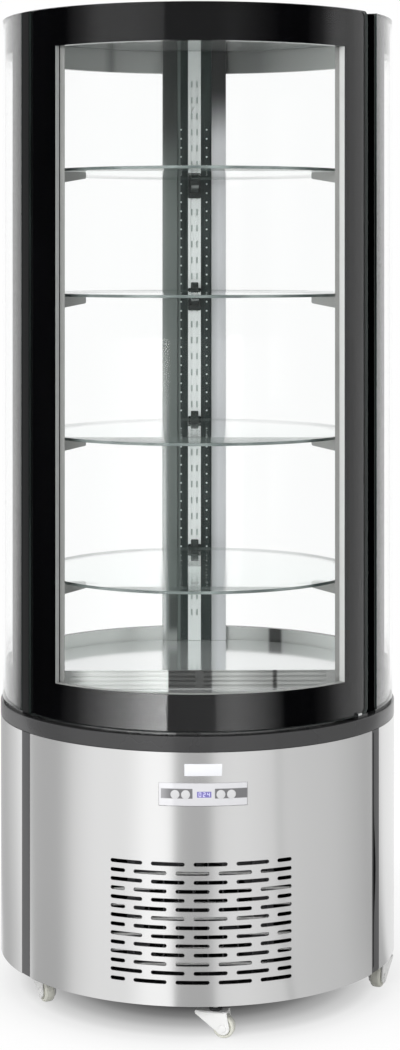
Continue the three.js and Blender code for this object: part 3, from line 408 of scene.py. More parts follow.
def moulded(name, colour, roughness, speckle=0.15, coat=0.0, metallic=0.0, shine=0.5):
    """Moulded plastic, paint or rubber: a fine texture and a little variation in tone."""
    tree = Finish(name)
    cloud = tree.noise(9.0)
    return tree.surface(
        Base_Color=tree.ramp(cloud, [(0.25, times(colour, 1 - speckle)), (0.75, colour)]),
        Metallic=metallic,
        Roughness=(cloud - 0.5) * 0.1 + roughness,
        Coat_Weight=coat,
        Specular_IOR_Level=shine,
        Normal=tree.bump(tree.noise(900.0, detail=2.0), 0.1, 0.0002),
    )


def clear_glass(name, tint, sheen):
    """A clear pane: what is behind it, faintly tinted, under a mirror that grows towards a grazing view."""
    tree = Finish(name)
    facing = tree.add("ShaderNodeLayerWeight", output="Facing", Blend=0.5)
    mirror = (facing**5.0) * 0.85 + tree.noise(4.0, (1.0, 1.0, 0.3), 2.0) * sheen
    through = tree.add("ShaderNodeBsdfTransparent", Color=tint)
    film = tree.add("ShaderNodeBsdfGlossy", Color=(1.0, 1.0, 1.0), Roughness=0.0)
    return tree.ends_in(tree.add("ShaderNodeMixShader", numbered={0: mirror, 1: through, 2: film}))


def black_glass(name, colour):
    """Black print under the pane: a mirror-smooth face with a trace of uneven print."""
    tree = Finish(name)
    cloud = tree.noise(14.0, (1.0, 1.0, 0.3), 2.0)
    shade = tree.ramp(cloud, [(0.3, colour), (0.8, times(colour, 1.8))])
    return tree.surface(Base_Color=shade, Roughness=0.0)


def pane_edge_glass(name, dark, light):
    """The ground edge of a pane or a shelf: darker and greener than its face, uneven along its length."""
    tree = Finish(name)
    shade = tree.ramp(tree.streaks(0.06, 2.0, 2.0), [(0.36, dark), (0.62, light)])
    return tree.surface(Base_Color=shade, Roughness=0.2)


def spacer_strip(name):
    """The spacer in the windows' reveals: darker on the left as painted shade, bright on the right as a
    painted highlight.
    """
    tree = Finish(name)
    x, y, z = tree.place()
    cloud = tree.noise(9.0)
    # Painted light and shade: the same spacer darker on the left and brighter on the right.
    shade = tree.mix(x.smooth(-0.02, 0.02), (0.38, 0.39, 0.385), (0.84, 0.85, 0.84))
    return tree.surface(
        Base_Color=tree.mix(cloud * 0.1, shade, (0.3, 0.3, 0.3)),
        Metallic=0.2,
        Roughness=(cloud - 0.5) * 0.1 + 0.45,
    )


def column_sheet(name):
    """The column's faces: dull bright steel with painted light and shade: the left face darker and greener as
    painted shade, the right face paler as a painted highlight, and painted highlights, shadows and dark tops
    by height.
    """
    tree = Finish(name)
    x, y, z = tree.place()
    across = x * 8.0 + 0.5
    grain = tree.noise(60.0, (30.0, 30.0, 0.5))
    dark = (0.03, 0.03, 0.03)
    # Painted shade: the left face is a darker, greener copy of the steel.
    stops = [(0.0, (0.36, 0.39, 0.38)), (0.10, (0.24, 0.27, 0.26)), (0.30, (0.20, 0.23, 0.22))]
    left = tree.ramp(across, stops)
    # Painted highlight down the left face's outer edge, fading out upwards.
    painted_edge_highlight = x.smooth(-0.0500, -0.0560) * z.smooth(1.15, 0.72)
    left = tree.mix(painted_edge_highlight, left, (0.90, 0.93, 0.92))
    # Painted shadow in a band just above the foot, on the left face away from its outer edge.
    painted_shadow_above_foot = (z - 0.585).size().smooth(0.05, 0.02) * x.smooth(-0.050, -0.044) * 0.6
    left = tree.mix(painted_shadow_above_foot, left, (0.03, 0.035, 0.03))
    # Painted light: the left face lighter at its foot.
    left = tree.mix(z.smooth(0.560, 0.535), left, (0.42, 0.44, 0.43))
    # Painted shade: the top of the left face darker.
    left = tree.mix(z.smooth(1.38, 1.51) * 0.8, left, dark)
    # Painted highlight: the right face is a paler copy of the steel.
    stops = [(0.76, (0.55, 0.57, 0.58)), (0.86, (0.84, 0.85, 0.88)), (1.0, (0.80, 0.81, 0.83))]
    right = tree.ramp(across, stops)
    # Painted glow high on the right face.
    glow = (z - 1.44).size().smooth(0.14, 0.0) * 0.5
    right = tree.mix(glow, right, (0.95, 0.95, 0.97))
    # Painted shade: the top of the right face darker.
    right = tree.mix(z.smooth(1.455, 1.567) * 0.97, right, dark)
    return tree.surface(
        Base_Color=tree.mix(grain * 0.15, tree.mix(x > 0.0, left, right), (0.05, 0.055, 0.05)),
        Metallic=0.35,
        Roughness=(grain - 0.5) * 0.08 + 0.3,
    )


def recess_sheet(name):
    """The column's recess: dark green-black beside the standard, with painted light making its left end
    paler.
    """
    tree = Finish(name)
    x, y, z = tree.place()
    cloud = tree.noise(40.0, (1.0, 1.0, 0.2))
    dark = tree.ramp(cloud, [(0.3, (0.016, 0.026, 0.024)), (0.7, (0.040, 0.056, 0.053))])
    # Painted light: the recess paler at its left end.
    shade = tree.mix(x.smooth(-0.0272, -0.0248), (0.17, 0.20, 0.19), dark)
    return tree.surface(Base_Color=shade, Roughness=cloud * 0.1 + 0.3)


def deck_sheet(name):
    """The polished floor of the cabinet, and its slotted sill with bands of painted reflection."""
    tree = Finish(name)
    x, y, z = tree.place()
    cloud = tree.noise(5.0, (1.0, 1.0, 0.4), 2.0)
    floor_shade = tree.mix(cloud, (0.90, 0.91, 0.91), (0.84, 0.85, 0.85))
    sill = y.smooth(-0.1620, -0.1625) * z.smooth(0.5314, 0.5318)
    return tree.surface(
        # Painted reflections: the sill's bands of light and dark stand in for what its mirror face shows.
        Base_Color=tree.mix(sill, floor_shade, tree.bands(x, SILL_PAINTED_REFLECTIONS)),
        Metallic=sill * -0.75 + 0.8,
        Roughness=(cloud - 0.5) * 0.05 + sill * 0.25 + 0.11,
    )


def border_lining(name):
    """The steel lining on the inner face of the side units' borders, its colour painted reflections in
    upright bands, one set low and one set high.
    """
    tree = Finish(name)
    x, y, z = tree.place()
    # Painted reflections: upright bands of light and dark, low and high on the lining.
    top, lower = tree.bands(x, TOP_LINING_PAINTED_REFLECTIONS), tree.bands(x, LOWER_LINING_PAINTED_REFLECTIONS)
    cloud = tree.noise(5.0, (1.0, 1.0, 0.4), 2.0)
    return tree.surface(
        Base_Color=tree.mix(z.smooth(1.0, 1.1), lower, top), Metallic=0.0, Roughness=(cloud - 0.5) * 0.1 + 0.3
    )


def control_film(name):
    """The printed film of the controls: white, with two dark fields and a dark display window, paler at its
    left end as a painted highlight that also lightens the left field there.
    """
    tree = Finish(name)
    turn, z = tree.around()
    along = (turn - CONTROL_TURN) * arc_length(1.0)

    def within(place, low, high):
        start, end = (place.smooth(edge - PRINT_BLUR, edge + PRINT_BLUR) for edge in (low, high))
        return start * (1.0 - end)

    def field(ends, low, high):
        return within(along, *ends) * within(z, low, high)

    # Painted highlight: the left dark field lighter towards its left end.
    left_highlight_fade = along.smooth(LEFT_FIELD[0] - 0.004, LEFT_FIELD[0] + 0.020)
    cloud = tree.noise(30.0, detail=2.0)
    paper = tree.mix(cloud, (0.60, 0.60, 0.62), (0.66, 0.66, 0.68))
    # Painted highlight: the film paler at its left end.
    shade = tree.mix(along.smooth(-0.044, -0.052), paper, (0.73, 0.73, 0.75))
    left = field(LEFT_FIELD, FIELD_LOW, FIELD_HIGH) * (left_highlight_fade * 0.35 + 0.65)
    shade = tree.mix(left, shade, (0.16, 0.16, 0.165))
    shade = tree.mix(field(RIGHT_FIELD, FIELD_LOW, FIELD_HIGH), shade, (0.15, 0.15, 0.155))
    shade = tree.mix(field(DISPLAY_FIELD, DISPLAY_LOW, DISPLAY_HIGH), shade, (0.20, 0.18, 0.46))
    return tree.surface(Base_Color=shade, Roughness=cloud * 0.1 + 0.3, Coat_Weight=0.2, Coat_Roughness=0.1)


def lit_segments(name):
    """The display's lit segments: pale violet light."""
    tree = Finish(name)
    glow = tree.ramp(tree.noise(400.0, detail=1.0), [(0.2, (0.72, 0.70, 1.0)), (0.8, (0.88, 0.87, 1.0))])
    return tree.surface(Base_Color=(0.1, 0.1, 0.12), Emission_Color=glow, Emission_Strength=1.0)


brushed_steel = grained_metal("brushed steel", (0.87, 0.87, 0.868), 0.24, 0.12, anisotropic=0.7)
deck_steel = deck_sheet("deck steel")
ceiling_steel = grained_metal("ceiling steel", (0.42, 0.44, 0.43), 0.14, 0.15, metallic=0.8)
spacer_alloy = spacer_strip("spacer alloy")
plated = moulded("plated", (0.75, 0.76, 0.75), 0.35, 0.05, metallic=0.4)
fin_alloy = grained_metal("fin alloy", (0.20, 0.20, 0.21), 0.45, 0.3)
frame_paint = moulded("frame paint", (0.040, 0.040, 0.042), 0.42)
collar_paint = moulded("collar paint", (0.034, 0.034, 0.035), 0.27, 0.08, coat=0.35)
trim_grey = moulded("trim grey", (0.060, 0.060, 0.062), 0.34, 0.08, coat=0.15)
grip_grey = moulded("grip grey", (0.008, 0.008, 0.0085), 0.4, 0.08, shine=0.06)
bracket_grey = moulded("bracket grey", (0.34, 0.345, 0.335), 0.38, 0.1)
bracket_dark = moulded("bracket dark", (0.022, 0.030, 0.028), 0.28, 0.1, coat=0.3)
black_paint = moulded("black paint", (0.010, 0.010, 0.011), 0.4)
post_black = moulded("post black", (0.0008, 0.0008, 0.0009), 0.7, shine=0.0)
# Black rubber for the door's seal, and the same black for the painted shadow strip beside the right trim.
seal_and_painted_shadow = moulded("seal and painted shadow", (0.003, 0.003, 0.0035), 0.6, shine=0.03)
recess_green = recess_sheet("recess green")
standard_paint = moulded("standard paint", (0.95, 0.99, 0.98), 0.4, 0.02)
slot_shade = moulded("slot shade", (0.72, 0.80, 0.77), 0.5, 0.05)
light_dots = moulded("light dots", (0.78, 0.84, 0.82), 0.3, 0.05)
reveal_grey = moulded("reveal grey", (0.30, 0.305, 0.295), 0.4, 0.12)
guard_wire = moulded("guard wire", (0.85, 0.85, 0.84), 0.4, 0.05)
castor_grey = moulded("castor grey", (0.90, 0.90, 0.89), 0.38, 0.04)
castor_dark = moulded("castor dark", (0.030, 0.030, 0.032), 0.5, 0.1)
wheel_cream = moulded("wheel cream", (0.78, 0.78, 0.70), 0.42, 0.06)
button_grey = moulded("button grey", (0.62, 0.62, 0.63), 0.35, 0.05)
badge_white = moulded("plain plate", (0.80, 0.81, 0.84), 0.3, 0.03, coat=0.3)
pane_glass = clear_glass("pane glass", (0.9985, 0.9996, 0.9992), 0.006)
shelf_glass = clear_glass("shelf glass", (0.970, 0.985, 0.980), 0.02)
black_border = black_glass("black border", (0.0012, 0.0012, 0.0014))
pane_edge = pane_edge_glass("pane edge", (0.006, 0.009, 0.008), (0.030, 0.040, 0.037))
shelf_edge = pane_edge_glass("shelf edge", (0.09, 0.115, 0.11), (0.26, 0.30, 0.29))
column_steel = column_sheet("column steel")
lining_steel = border_lining("border lining")
film_print = control_film("control film")
segment_light = lit_segments("display light")


# Mesh helpers


def new_piece(name, mesh, body, finish, replaces=(), smooth_angle=35.0):
    """Puts a mesh in the scene, with its materials, on the body it rides with."""
    mesh.name = name
    piece = bpy.data.objects.new(name, mesh)
    scene.collection.objects.link(piece)
    for one in finish if isinstance(finish, list) else [finish]:
        mesh.materials.append(one)
    mesh.shade_smooth()
    mesh.set_sharp_from_angle(angle=math.radians(smooth_angle))
    if replaces:
        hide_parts(*replaces)
    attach(piece, body)


def written(bm):
    """The mesh that was built up, as data of its own."""
    mesh = bpy.data.meshes.new("mesh")
    bm.to_mesh(mesh)
    bm.free()
    return mesh


def mesh_of(bm):
    """The mesh, its faces turned outwards."""
    bmesh.ops.recalc_face_normals(bm, faces=bm.faces)
    return written(bm)


def joined(*meshes):
    """Several meshes as one."""
    bm = bmesh.new()
    for mesh in meshes:
        bm.from_mesh(mesh)
        bpy.data.meshes.remove(mesh)
    return written(bm)


def shifted(mesh, x=0.0, y=0.0, z=0.0):
    mesh.transform(Matrix.Translation((x, y, z)))
    return mesh


def turned(mesh, degrees, axis="Z"):
    mesh.transform(Matrix.Rotation(math.radians(degrees), 4, axis))
    return mesh


def second_where(mesh, wanted):
    """The mesh, with its second material on the faces that are wanted."""
    for face in mesh.polygons:
        face.material_index = int(wanted(face))
    return mesh


def in_two_finishes(first_parts, second_parts):
    """One mesh from two lists of parts, the second ones in the second material."""
    first = joined(*first_parts)
    count = len(first.polygons)
    return second_where(joined(first, *second_parts), lambda face: face.index >= count)


def outward(face):
    """How straight a face looks away from the cabinet's axis: 1 straight out, -1 straight in."""
    return face.normal.dot(Vector((face.center.x, face.center.y, 0.0)).normalized())


def corners(left, low, right, high):
    return [(left, low), (right, low), (right, high), (left, high)]


def soft_corners(points, radius, steps=2):
    """A closed outline with its corners rounded to a radius, or less where a side is short."""
    rounded = []
    count = len(points)
    for i, point in enumerate(points):
        here, before, after = Vector(point), Vector(points[i - 1]), Vector(points[(i + 1) % count])
        cut = min(radius, min((before - here).length, (after - here).length) * 0.45)
        start = here + (before - here).normalized() * cut
        end = here + (after - here).normalized() * cut
        for k in range(steps + 1):
            t = k / steps
            rounded.append(start * (1 - t) ** 2 + here * 2 * t * (1 - t) + end * t * t)
    return rounded


def rectangle(inner, outer, low, high, soft=EDGE_SOFT, steps=2):
    """A softened rectangle in (radius, height)."""
    return soft_corners(corners(inner, low, outer, high), soft, steps)


def arc_steps(start, end, step=ARC_STEP):
    """Angles from start to end, evenly spaced."""
    count = max(2, math.ceil(abs(end - start) / step))
    return [start + (end - start) * i / count for i in range(count + 1)]


def lofted(rows, closed=False):
    """A solid through rows of points, each row a closed outline."""
    bm = bmesh.new()
    rings = [[bm.verts.new(point) for point in row] for row in rows]
    pairs = list(zip(rings, rings[1:]))
    if closed:
        pairs.append((rings[-1], rings[0]))
    for first, second in pairs:
        for k in range(len(first)):
            m = (k + 1) % len(first)
            bm.faces.new((first[k], first[m], second[m], second[k]))
    if not closed:
        bm.faces.new(rings[0])
        bm.faces.new(list(reversed(rings[-1])))
    return mesh_of(bm)


def swept_through(profile, angles, closed=False):
    """A closed outline in (radius, height) swept round the cabinet's axis through the angles."""
    return lofted([[polar(p[0], angle, p[1]) for p in profile] for angle in angles], closed)


def swept(profile, start, end, step=ARC_STEP):
    return swept_through(profile, arc_steps(start, end, step))


def turned_profile(profile, sides):
    """A closed outline in (radius, height) turned into a full ring about its own z axis."""
    return swept_through(profile, [360.0 * i / sides for i in range(sides)], closed=True)


def disc_solid(radius, low, high, soft, sides, dome=0.0):
    """A round plate or bar with softened rims, and a domed top if asked."""
    rim = soft_corners([(0.0, low), (radius, low), (radius, high), (0.0, high + dome)], soft, 3)
    outline = [p for p in rim if p[0] > soft * 0.6]
    bm = bmesh.new()
    rings = [[bm.verts.new(polar(p[0], 360.0 * i / sides, p[1])) for p in outline] for i in range(sides)]
    for first, second in zip(rings, rings[1:] + rings[:1]):
        for k in range(len(outline) - 1):
            bm.faces.new((first[k], first[k + 1], second[k + 1], second[k]))
    bm.faces.new([ring[0] for ring in rings])
    bm.faces.new([ring[-1] for ring in reversed(rings)])
    return mesh_of(bm)


def extruded(outline, depth, soft=0.0):
    """An outline in x and y raised along z, with its edges softened."""
    bm = bmesh.new()
    face = bm.faces.new([bm.verts.new((p[0], p[1], 0.0)) for p in outline])
    top = bmesh.ops.extrude_face_region(bm, geom=[face])
    moved = [v for v in top["geom"] if isinstance(v, bmesh.types.BMVert)]
    bmesh.ops.translate(bm, verts=moved, vec=(0.0, 0.0, depth))
    if soft:
        bmesh.ops.recalc_face_normals(bm, faces=bm.faces)
        sharp = [e for e in bm.edges if e.calc_face_angle(0.0) > math.radians(40)]
        bmesh.ops.bevel(bm, geom=sharp, offset=soft, segments=2, affect="EDGES", clamp_overlap=True)
    return mesh_of(bm)


def box_mesh(low, high, soft=EDGE_SOFT):
    """A box between two corners, its edges softened."""
    return shifted(extruded(corners(low[0], low[1], high[0], high[1]), high[2] - low[2], soft), z=low[2])


def slotted_sheet(width, height, holes, depth, cut_step=0.006):
    """A flat sheet with holes, as a mesh in x (across) and y (up), divided so that it can be bent."""
    curve = bpy.data.curves.new("sheet", "CURVE")
    curve.dimensions = "2D"
    curve.fill_mode = "BOTH"
    curve.extrude = depth / 2
    for outline in [corners(-width / 2, 0.0, width / 2, height), *holes]:
        spline = curve.splines.new("POLY")
        spline.points.add(len(outline) - 1)
        for point, (x, y) in zip(spline.points, outline):
            point.co = (x, y, 0.0, 1.0)
        spline.use_cyclic_u = True
    holder = bpy.data.objects.new("sheet", curve)
    scene.collection.objects.link(holder)
    bm = bmesh.new()
    bm.from_mesh(holder.to_mesh())
    holder.to_mesh_clear()
    bpy.data.objects.remove(holder)
    bpy.data.curves.remove(curve)
    bmesh.ops.remove_doubles(bm, verts=bm.verts, dist=1e-6)
    cuts = max(1, int(width / cut_step))
    for i in range(1, cuts):
        x = -width / 2 + width * i / cuts
        everything = bm.verts[:] + bm.edges[:] + bm.faces[:]
        bmesh.ops.bisect_plane(bm, geom=everything, plane_co=(x, 0, 0), plane_no=(1, 0, 0), dist=1e-7)
    return bm


def bent(bm, radius, middle_angle, low, depth):
    """A flat sheet wrapped round the axis: x becomes an angle, y a height, z a depth inwards."""
    for vert in bm.verts:
        x, y, z = vert.co
        vert.co = polar(radius - depth / 2 + z, middle_angle + span(x, radius), low + y)
    return mesh_of(bm)


def round_slot(x, y, length, height, steps=5):
    """The outline of a slot with round ends."""
    half = height / 2
    end = length / 2 - half
    turns = [math.pi * i / steps - math.pi / 2 for i in range(steps + 1)]
    right = [(x + end + half * math.cos(a), y + half * math.sin(a)) for a in turns]
    left = [(x - end - half * math.cos(a), y - half * math.sin(a)) for a in turns]
    return right + left


# The glass units


def rounded_door_corner(mesh):
    """Rounds the corners at the door's hinge edge."""
    for vert in mesh.vertices:
        x, y, z = vert.co
        aside = arc_length(DOOR_END - math.degrees(math.atan2(x, -y)), GLASS_RADIUS)
        if aside > DOOR_CORNER:
            continue
        drop = DOOR_CORNER - math.sqrt(max(0.0, DOOR_CORNER**2 - (DOOR_CORNER - aside) ** 2))
        if z > (GLASS_LOW + GLASS_HIGH) / 2:
            vert.co.z = min(z, GLASS_HIGH - drop)
        else:
            vert.co.z = max(z, GLASS_LOW + drop)
    return mesh


def door_angles(start):
    """Angles along the door, close together at its rounded hinge edge."""
    close = span(DOOR_CORNER, GLASS_RADIUS)
    fine = [1 - math.sin(math.pi / 2 * i / CORNER_STEPS) for i in range(1, CORNER_STEPS + 1)]
    return arc_steps(start, DOOR_END - close) + [DOOR_END - close * share for share in fine]


def pane(outer, angles):
    return swept_through(rectangle(outer - PANE, outer, GLASS_LOW, GLASS_HIGH), angles)


def ground_edges(mesh):
    """A pane with its clear faces in the first material and its ground edges in the second."""
    return second_where(mesh, lambda face: abs(outward(face)) <= FACES_STRAIGHT)


def window_frame(start, end, hole_start, hole_end, last=None):
    """A curved border round a window: two uprights and two rails."""
    inner, outer = INNER_PANE_RADIUS + SEAT_GAP, FRAME_RADIUS
    upright = rectangle(inner, outer, GLASS_LOW, GLASS_HIGH)
    return joined(
        swept(upright, start, hole_start),
        swept_through(upright, last or arc_steps(hole_end, end)),
        swept(rectangle(inner, outer, GLASS_LOW, WINDOW_LOW), hole_start, hole_end),
        swept(rectangle(inner, outer, WINDOW_HIGH, GLASS_HIGH), hole_start, hole_end),
    )


def spacer_strips(hole_start, hole_end):
    """The pale spacer seen at both sides of the window's reveal."""
    outer = FRAME_RADIUS - SEAT_GAP
    strips = []
    for side, edge in ((-1, hole_start), (1, hole_end)):
        upright = rectangle(outer - SPACER_DEPTHS[side], outer, WINDOW_LOW, WINDOW_HIGH, THIN_SOFT)
        strips.append(swept(upright, edge, edge - side * span(SPACER_WALL, outer)))
    return joined(*strips)


def reveal_strips(hole_start, hole_end):
    """The grey inner lip of the window, between the panes: two sides and the foot."""
    inner, outer = REVEAL_FACE - REVEAL_THICKNESS, REVEAL_FACE
    upright = rectangle(inner, outer, WINDOW_LOW, WINDOW_HIGH, THIN_SOFT)
    strips = []
    for side, edge in ((-1, hole_start), (1, hole_end)):
        strips.append(swept(upright, edge, edge - side * span(REVEAL_WIDTHS[side], outer), FINE_STEP))
    foot = rectangle(inner, FRAME_RADIUS - SEAT_GAP, WINDOW_LOW, WINDOW_LOW + SPACER_RAIL, THIN_SOFT)
    wall = span(SPACER_WALL, outer)
    return joined(*strips, swept(foot, hole_start + wall, hole_end - wall))


def hinge_pin(low, high):
    pin = disc_solid(PIN_RADIUS, low, high, soft=0.0004, sides=16)
    return shifted(pin, *polar(PIVOT_RADIUS, PIVOT_ANGLE))


def door_leaf():
    """The door's two panes, its border with the hinge pins, and the strips in its reveal."""
    for layer, outer in (("outer", GLASS_RADIUS), ("inner", INNER_PANE_RADIUS)):
        mesh = ground_edges(rounded_door_corner(pane(outer, door_angles(DOOR_START))))
        finishes, node = [pane_glass, pane_edge], f"door_{layer}_glass"
        new_piece(f"door_pane_{layer}", mesh, "door", finishes, [node], FLAT_SMOOTH)
    half = DOOR_WINDOW_HALF
    leaf = joined(
        rounded_door_corner(window_frame(DOOR_START, DOOR_END, -half, half, door_angles(half))),
        hinge_pin(GLASS_LOW - LOWER_PIN_DROP, GLASS_LOW),
        hinge_pin(GLASS_HIGH - UPPER_PIN_REACH, GLASS_HIGH - UPPER_PIN_SINK),
    )
    new_piece("door_border", leaf, "door", black_border, ["door_frame"], FLAT_SMOOTH)
    new_piece("door_spacer", spacer_strips(-half, half), "door", spacer_alloy)
    new_piece("door_reveal", reveal_strips(-half, half), "door", reveal_grey)


def door_gasket():
    """A closed seal on the inner pane, with a rounded lip."""
    low, high = heights("door_gasket")
    outer = INNER_RADIUS - SEAT_GAP
    inner = min(front_radius("door_gasket"), outer) - GASKET_LIP
    edge = GASKET_ANGLE - span(GASKET_WIDTH, INNER_RADIUS)
    tall = rectangle(inner, outer, low, high, GASKET_ROUND)
    parts = [swept(tall, -GASKET_ANGLE, -edge, FINE_STEP), swept(tall, edge, GASKET_ANGLE, FINE_STEP)]
    for foot, head in ((low, low + GASKET_WIDTH), (high - GASKET_WIDTH, high)):
        parts.append(swept(rectangle(inner, outer, foot, head, GASKET_ROUND), -edge, edge))
    new_piece("door_seal", joined(*parts), "door", seal_and_painted_shadow, ["door_gasket"])


def door_grip():
    """The C profile along the door's free edge, open towards the fixed glass."""
    outer, inner = GLASS_RADIUS, INNER_RADIUS + GRIP_WALL
    wall_end, lip_end = GRIP_START - span(GRIP_WALL, outer), GRIP_START - span(GRIP_LIP, inner)
    outline = [
        (outer, GRIP_START),
        (outer, GRIP_END),
        (outer - GRIP_WALL, GRIP_END),
        (outer - GRIP_WALL, wall_end),
        (inner + GRIP_WALL, wall_end),
        (inner + GRIP_WALL, lip_end),
        (inner, lip_end),
        (inner, GRIP_START),
    ]
    fine = []
    for (r1, a1), (r2, a2) in zip(outline, outline[1:] + outline[:1]):
        steps = max(1, math.ceil(abs(a2 - a1) / GRIP_STEP))
        fine += [polar(r1 + (r2 - r1) * i / steps, a1 + (a2 - a1) * i / steps) for i in range(steps)]
    mesh = shifted(extruded(fine, GLASS_HIGH - GLASS_LOW, soft=0.0007), z=GLASS_LOW)
    new_piece("door_grip_profile", mesh, "door", grip_grey, ["door_grip"])


def hinge_tab():
    """The small plated keeper at the foot of the door's hinge side."""
    near, proud = GLASS_RADIUS + KEEPER_NEAR, GLASS_RADIUS + KEEPER_PROUD
    outline = rectangle(near, proud, KEEPER_LOW, KEEPER_HIGH, soft=0.0003)
    mesh = swept(outline, KEEPER_START, KEEPER_END, FINE_STEP)
    new_piece("hinge_keeper", mesh, "door", plated)


def fixed_units():
    """The glass round each side: two panes, a border with its lining, and the spacer in its reveal."""
    for side, sign in SIDES.items():
        start, end = sorted((sign * FIXED_START, sign * FIXED_END))
        hole = sorted((sign * FIXED_WINDOW_START, sign * FIXED_WINDOW_END))
        for layer, outer in (("outer", GLASS_RADIUS), ("inner", INNER_PANE_RADIUS)):
            mesh = ground_edges(pane(outer, arc_steps(start, end)))
            name, node = f"side_pane_{layer}_{side}", f"side_{layer}_glass_{side}"
            new_piece(name, mesh, "cabinet", [pane_glass, pane_edge], [node], FLAT_SMOOTH)
        mesh = second_where(window_frame(start, end, *hole), lambda face: outward(face) < -FACES_STRAIGHT)
        finishes, node = [black_border, lining_steel], f"side_spacer_{side}"
        new_piece(f"side_border_{side}", mesh, "cabinet", finishes, [node], FLAT_SMOOTH)
        new_piece(f"side_spacer_strip_{side}", spacer_strips(*hole), "cabinet", spacer_alloy)


# The base


def collar():
    """The ring under the glass, with the seat of the fixed units and the pad under the hinge."""
    profile = rectangle(COLLAR_INNER, BASE_RADIUS, COLLAR_LOW, GLASS_LOW - RING_DROP, soft=0.0016, steps=3)
    ring = turned_profile(profile, sides=180)
    edge = FIXED_START + span(SEAT_START, GLASS_RADIUS)
    low = GLASS_LOW - SEAT_DROP
    seat = swept(rectangle(*SEAT_RING, low, COLLAR_HIGH), edge, 360.0 - edge)
    half = span(PAD_HALF, PIVOT_RADIUS)
    pad = swept(rectangle(*PAD_RING, low, COLLAR_HIGH), PIVOT_ANGLE - half, PIVOT_ANGLE + half / 2, FINE_STEP)
    mesh = joined(ring, seat, pad)
    new_piece("base_collar", mesh, "cabinet", collar_paint, ["collar_ring"], smooth_angle=50.0)


def louvre_holes(shift):
    """The slot outlines of the louvre, in arc length and height over the panel's foot."""
    holes = []
    for row in range(LOUVRE_ROWS):
        start = -LOUVRE_HALF
        while start + SHORTEST_SLOT <= LOUVRE_HALF:
            end = min(start + SLOT_LENGTH, LOUVRE_HALF)
            middle = (start + end) / 2 * (-1 if row % 2 else 1)
            height = LOUVRE_TOP - row * LOUVRE_ROW_PITCH
            holes.append(round_slot(middle - shift, height, end - start, SLOT_HEIGHT))
            start += SLOT_PITCH
    return holes


def base_panel(name, node, start, end, holes):
    """A bent steel panel with its slots and its folded returns."""
    radius = BASE_RADIUS - PANEL_SKIN
    sheet = slotted_sheet(arc_length(end - start, radius), PANEL_TOP - BASE_LOW, holes, PANEL_THICKNESS)
    skin = bent(sheet, radius, (start + end) / 2, BASE_LOW, PANEL_THICKNESS)
    inner = radius - PANEL_THICKNESS
    fold = span(PANEL_THICKNESS, radius)
    profile = rectangle(inner - PANEL_RETURN, inner + RETURN_WELD, BASE_LOW + RETURN_LIFT, PANEL_TOP)
    mesh = joined(skin, *(swept(profile, edge, edge + fold) for edge in (start, end - fold)))
    new_piece(name, mesh, "cabinet", brushed_steel, [node], smooth_angle=40.0)


def base_panels():
    """The front panel with the louvre and the controls' opening, and the side panels with their vents."""
    play = span(UPRIGHT_HALF + PANEL_PLAY)
    reach = UPRIGHT_ANGLE - play
    shift = arc_length(UPRIGHT_TURN)
    middle, half = arc_length(CONTROL_TURN) - shift, CONTROL_HALF + SEAT_GAP
    low, high = heights("control_plate")
    opening = corners(middle - half, low - BASE_LOW - SEAT_GAP, middle + half, high - BASE_LOW + SEAT_GAP)
    holes = [*louvre_holes(shift), opening]
    base_panel("front_panel", "base_panel_front", UPRIGHT_TURN - reach, UPRIGHT_TURN + reach, holes)
    for side, sign in SIDES.items():
        start, end = UPRIGHT_ANGLE + sign * UPRIGHT_TURN + play, 180.0 - play
        x = (arc_length(end - start) / 2 - VENT_SETBACK + arc_length(play)) * sign
        rows = [LOUVRE_TOP - row * LOUVRE_ROW_PITCH for row in range(VENT_ROWS)]
        vents = [round_slot(x, height, SLOT_LENGTH, SLOT_HEIGHT) for height in rows]
        base_panel(f"side_panel_{side}", f"base_panel_{side}", *sorted((sign * start, sign * end)), vents)


def base_trims():
    """The dark strips between the panels."""
    half, outer = span(UPRIGHT_HALF), BASE_RADIUS - TRIM_SINK
    profile = rectangle(outer - TRIM_THICKNESS, outer, BASE_LOW + TRIM_LIFT, PANEL_TOP, soft=0.0007, steps=3)
    angles = {"left": UPRIGHT_TURN - UPRIGHT_ANGLE, "right": UPRIGHT_TURN + UPRIGHT_ANGLE, "rear": 180.0}
    for side, angle in angles.items():
        mesh = swept(profile, angle - half, angle + half, FINE_STEP)
        new_piece(f"base_trim_{side}", mesh, "cabinet", trim_grey)


def painted_shadow_strip():
    """A dark strip of painted shadow that bulges out beside the right strip."""
    half, outer = span(UPRIGHT_HALF), BASE_RADIUS - TRIM_SINK
    low, high = BASE_LOW + BULGE_FOOT, PANEL_TOP - BULGE_HEAD
    start = UPRIGHT_TURN + UPRIGHT_ANGLE - half * BULGE_START_SHARE
    rows = []
    for i in range(BULGE_STEPS + 1):
        share = i / BULGE_STEPS
        swell = math.exp(-(((share - WIDEST_SHARE) / SPREAD_SHARE) ** 2))
        end = start + half * (SLIM_SHARE + WIDE_SHARE * swell)
        outline = corners(outer - BULGE_SINK, start, outer + BULGE_PROUD, end)
        rows.append([polar(radius, angle, low + (high - low) * share) for radius, angle in outline])
    new_piece("panel_seal_right", lofted(rows), "cabinet", seal_and_painted_shadow)


def digit_segments(figure, x, z):
    """One seven-segment figure: the middle and size of each lit bar, in arc length and height."""
    tall = FIGURE_SIZE
    wide, thick = tall * FIGURE_WIDTH_SHARE, tall * BAR_SHARE
    bars = {
        "a": (0.0, tall / 2, wide, thick),
        "g": (0.0, 0.0, wide, thick),
        "d": (0.0, -tall / 2, wide, thick),
        "f": (-wide / 2, tall / 4, thick, tall / 2),
        "b": (wide / 2, tall / 4, thick, tall / 2),
        "e": (-wide / 2, -tall / 4, thick, tall / 2),
        "c": (wide / 2, -tall / 4, thick, tall / 2),
    }
    return [(x + bars[key][0], z + bars[key][1], *bars[key][2:]) for key in LIT_BARS[figure]]


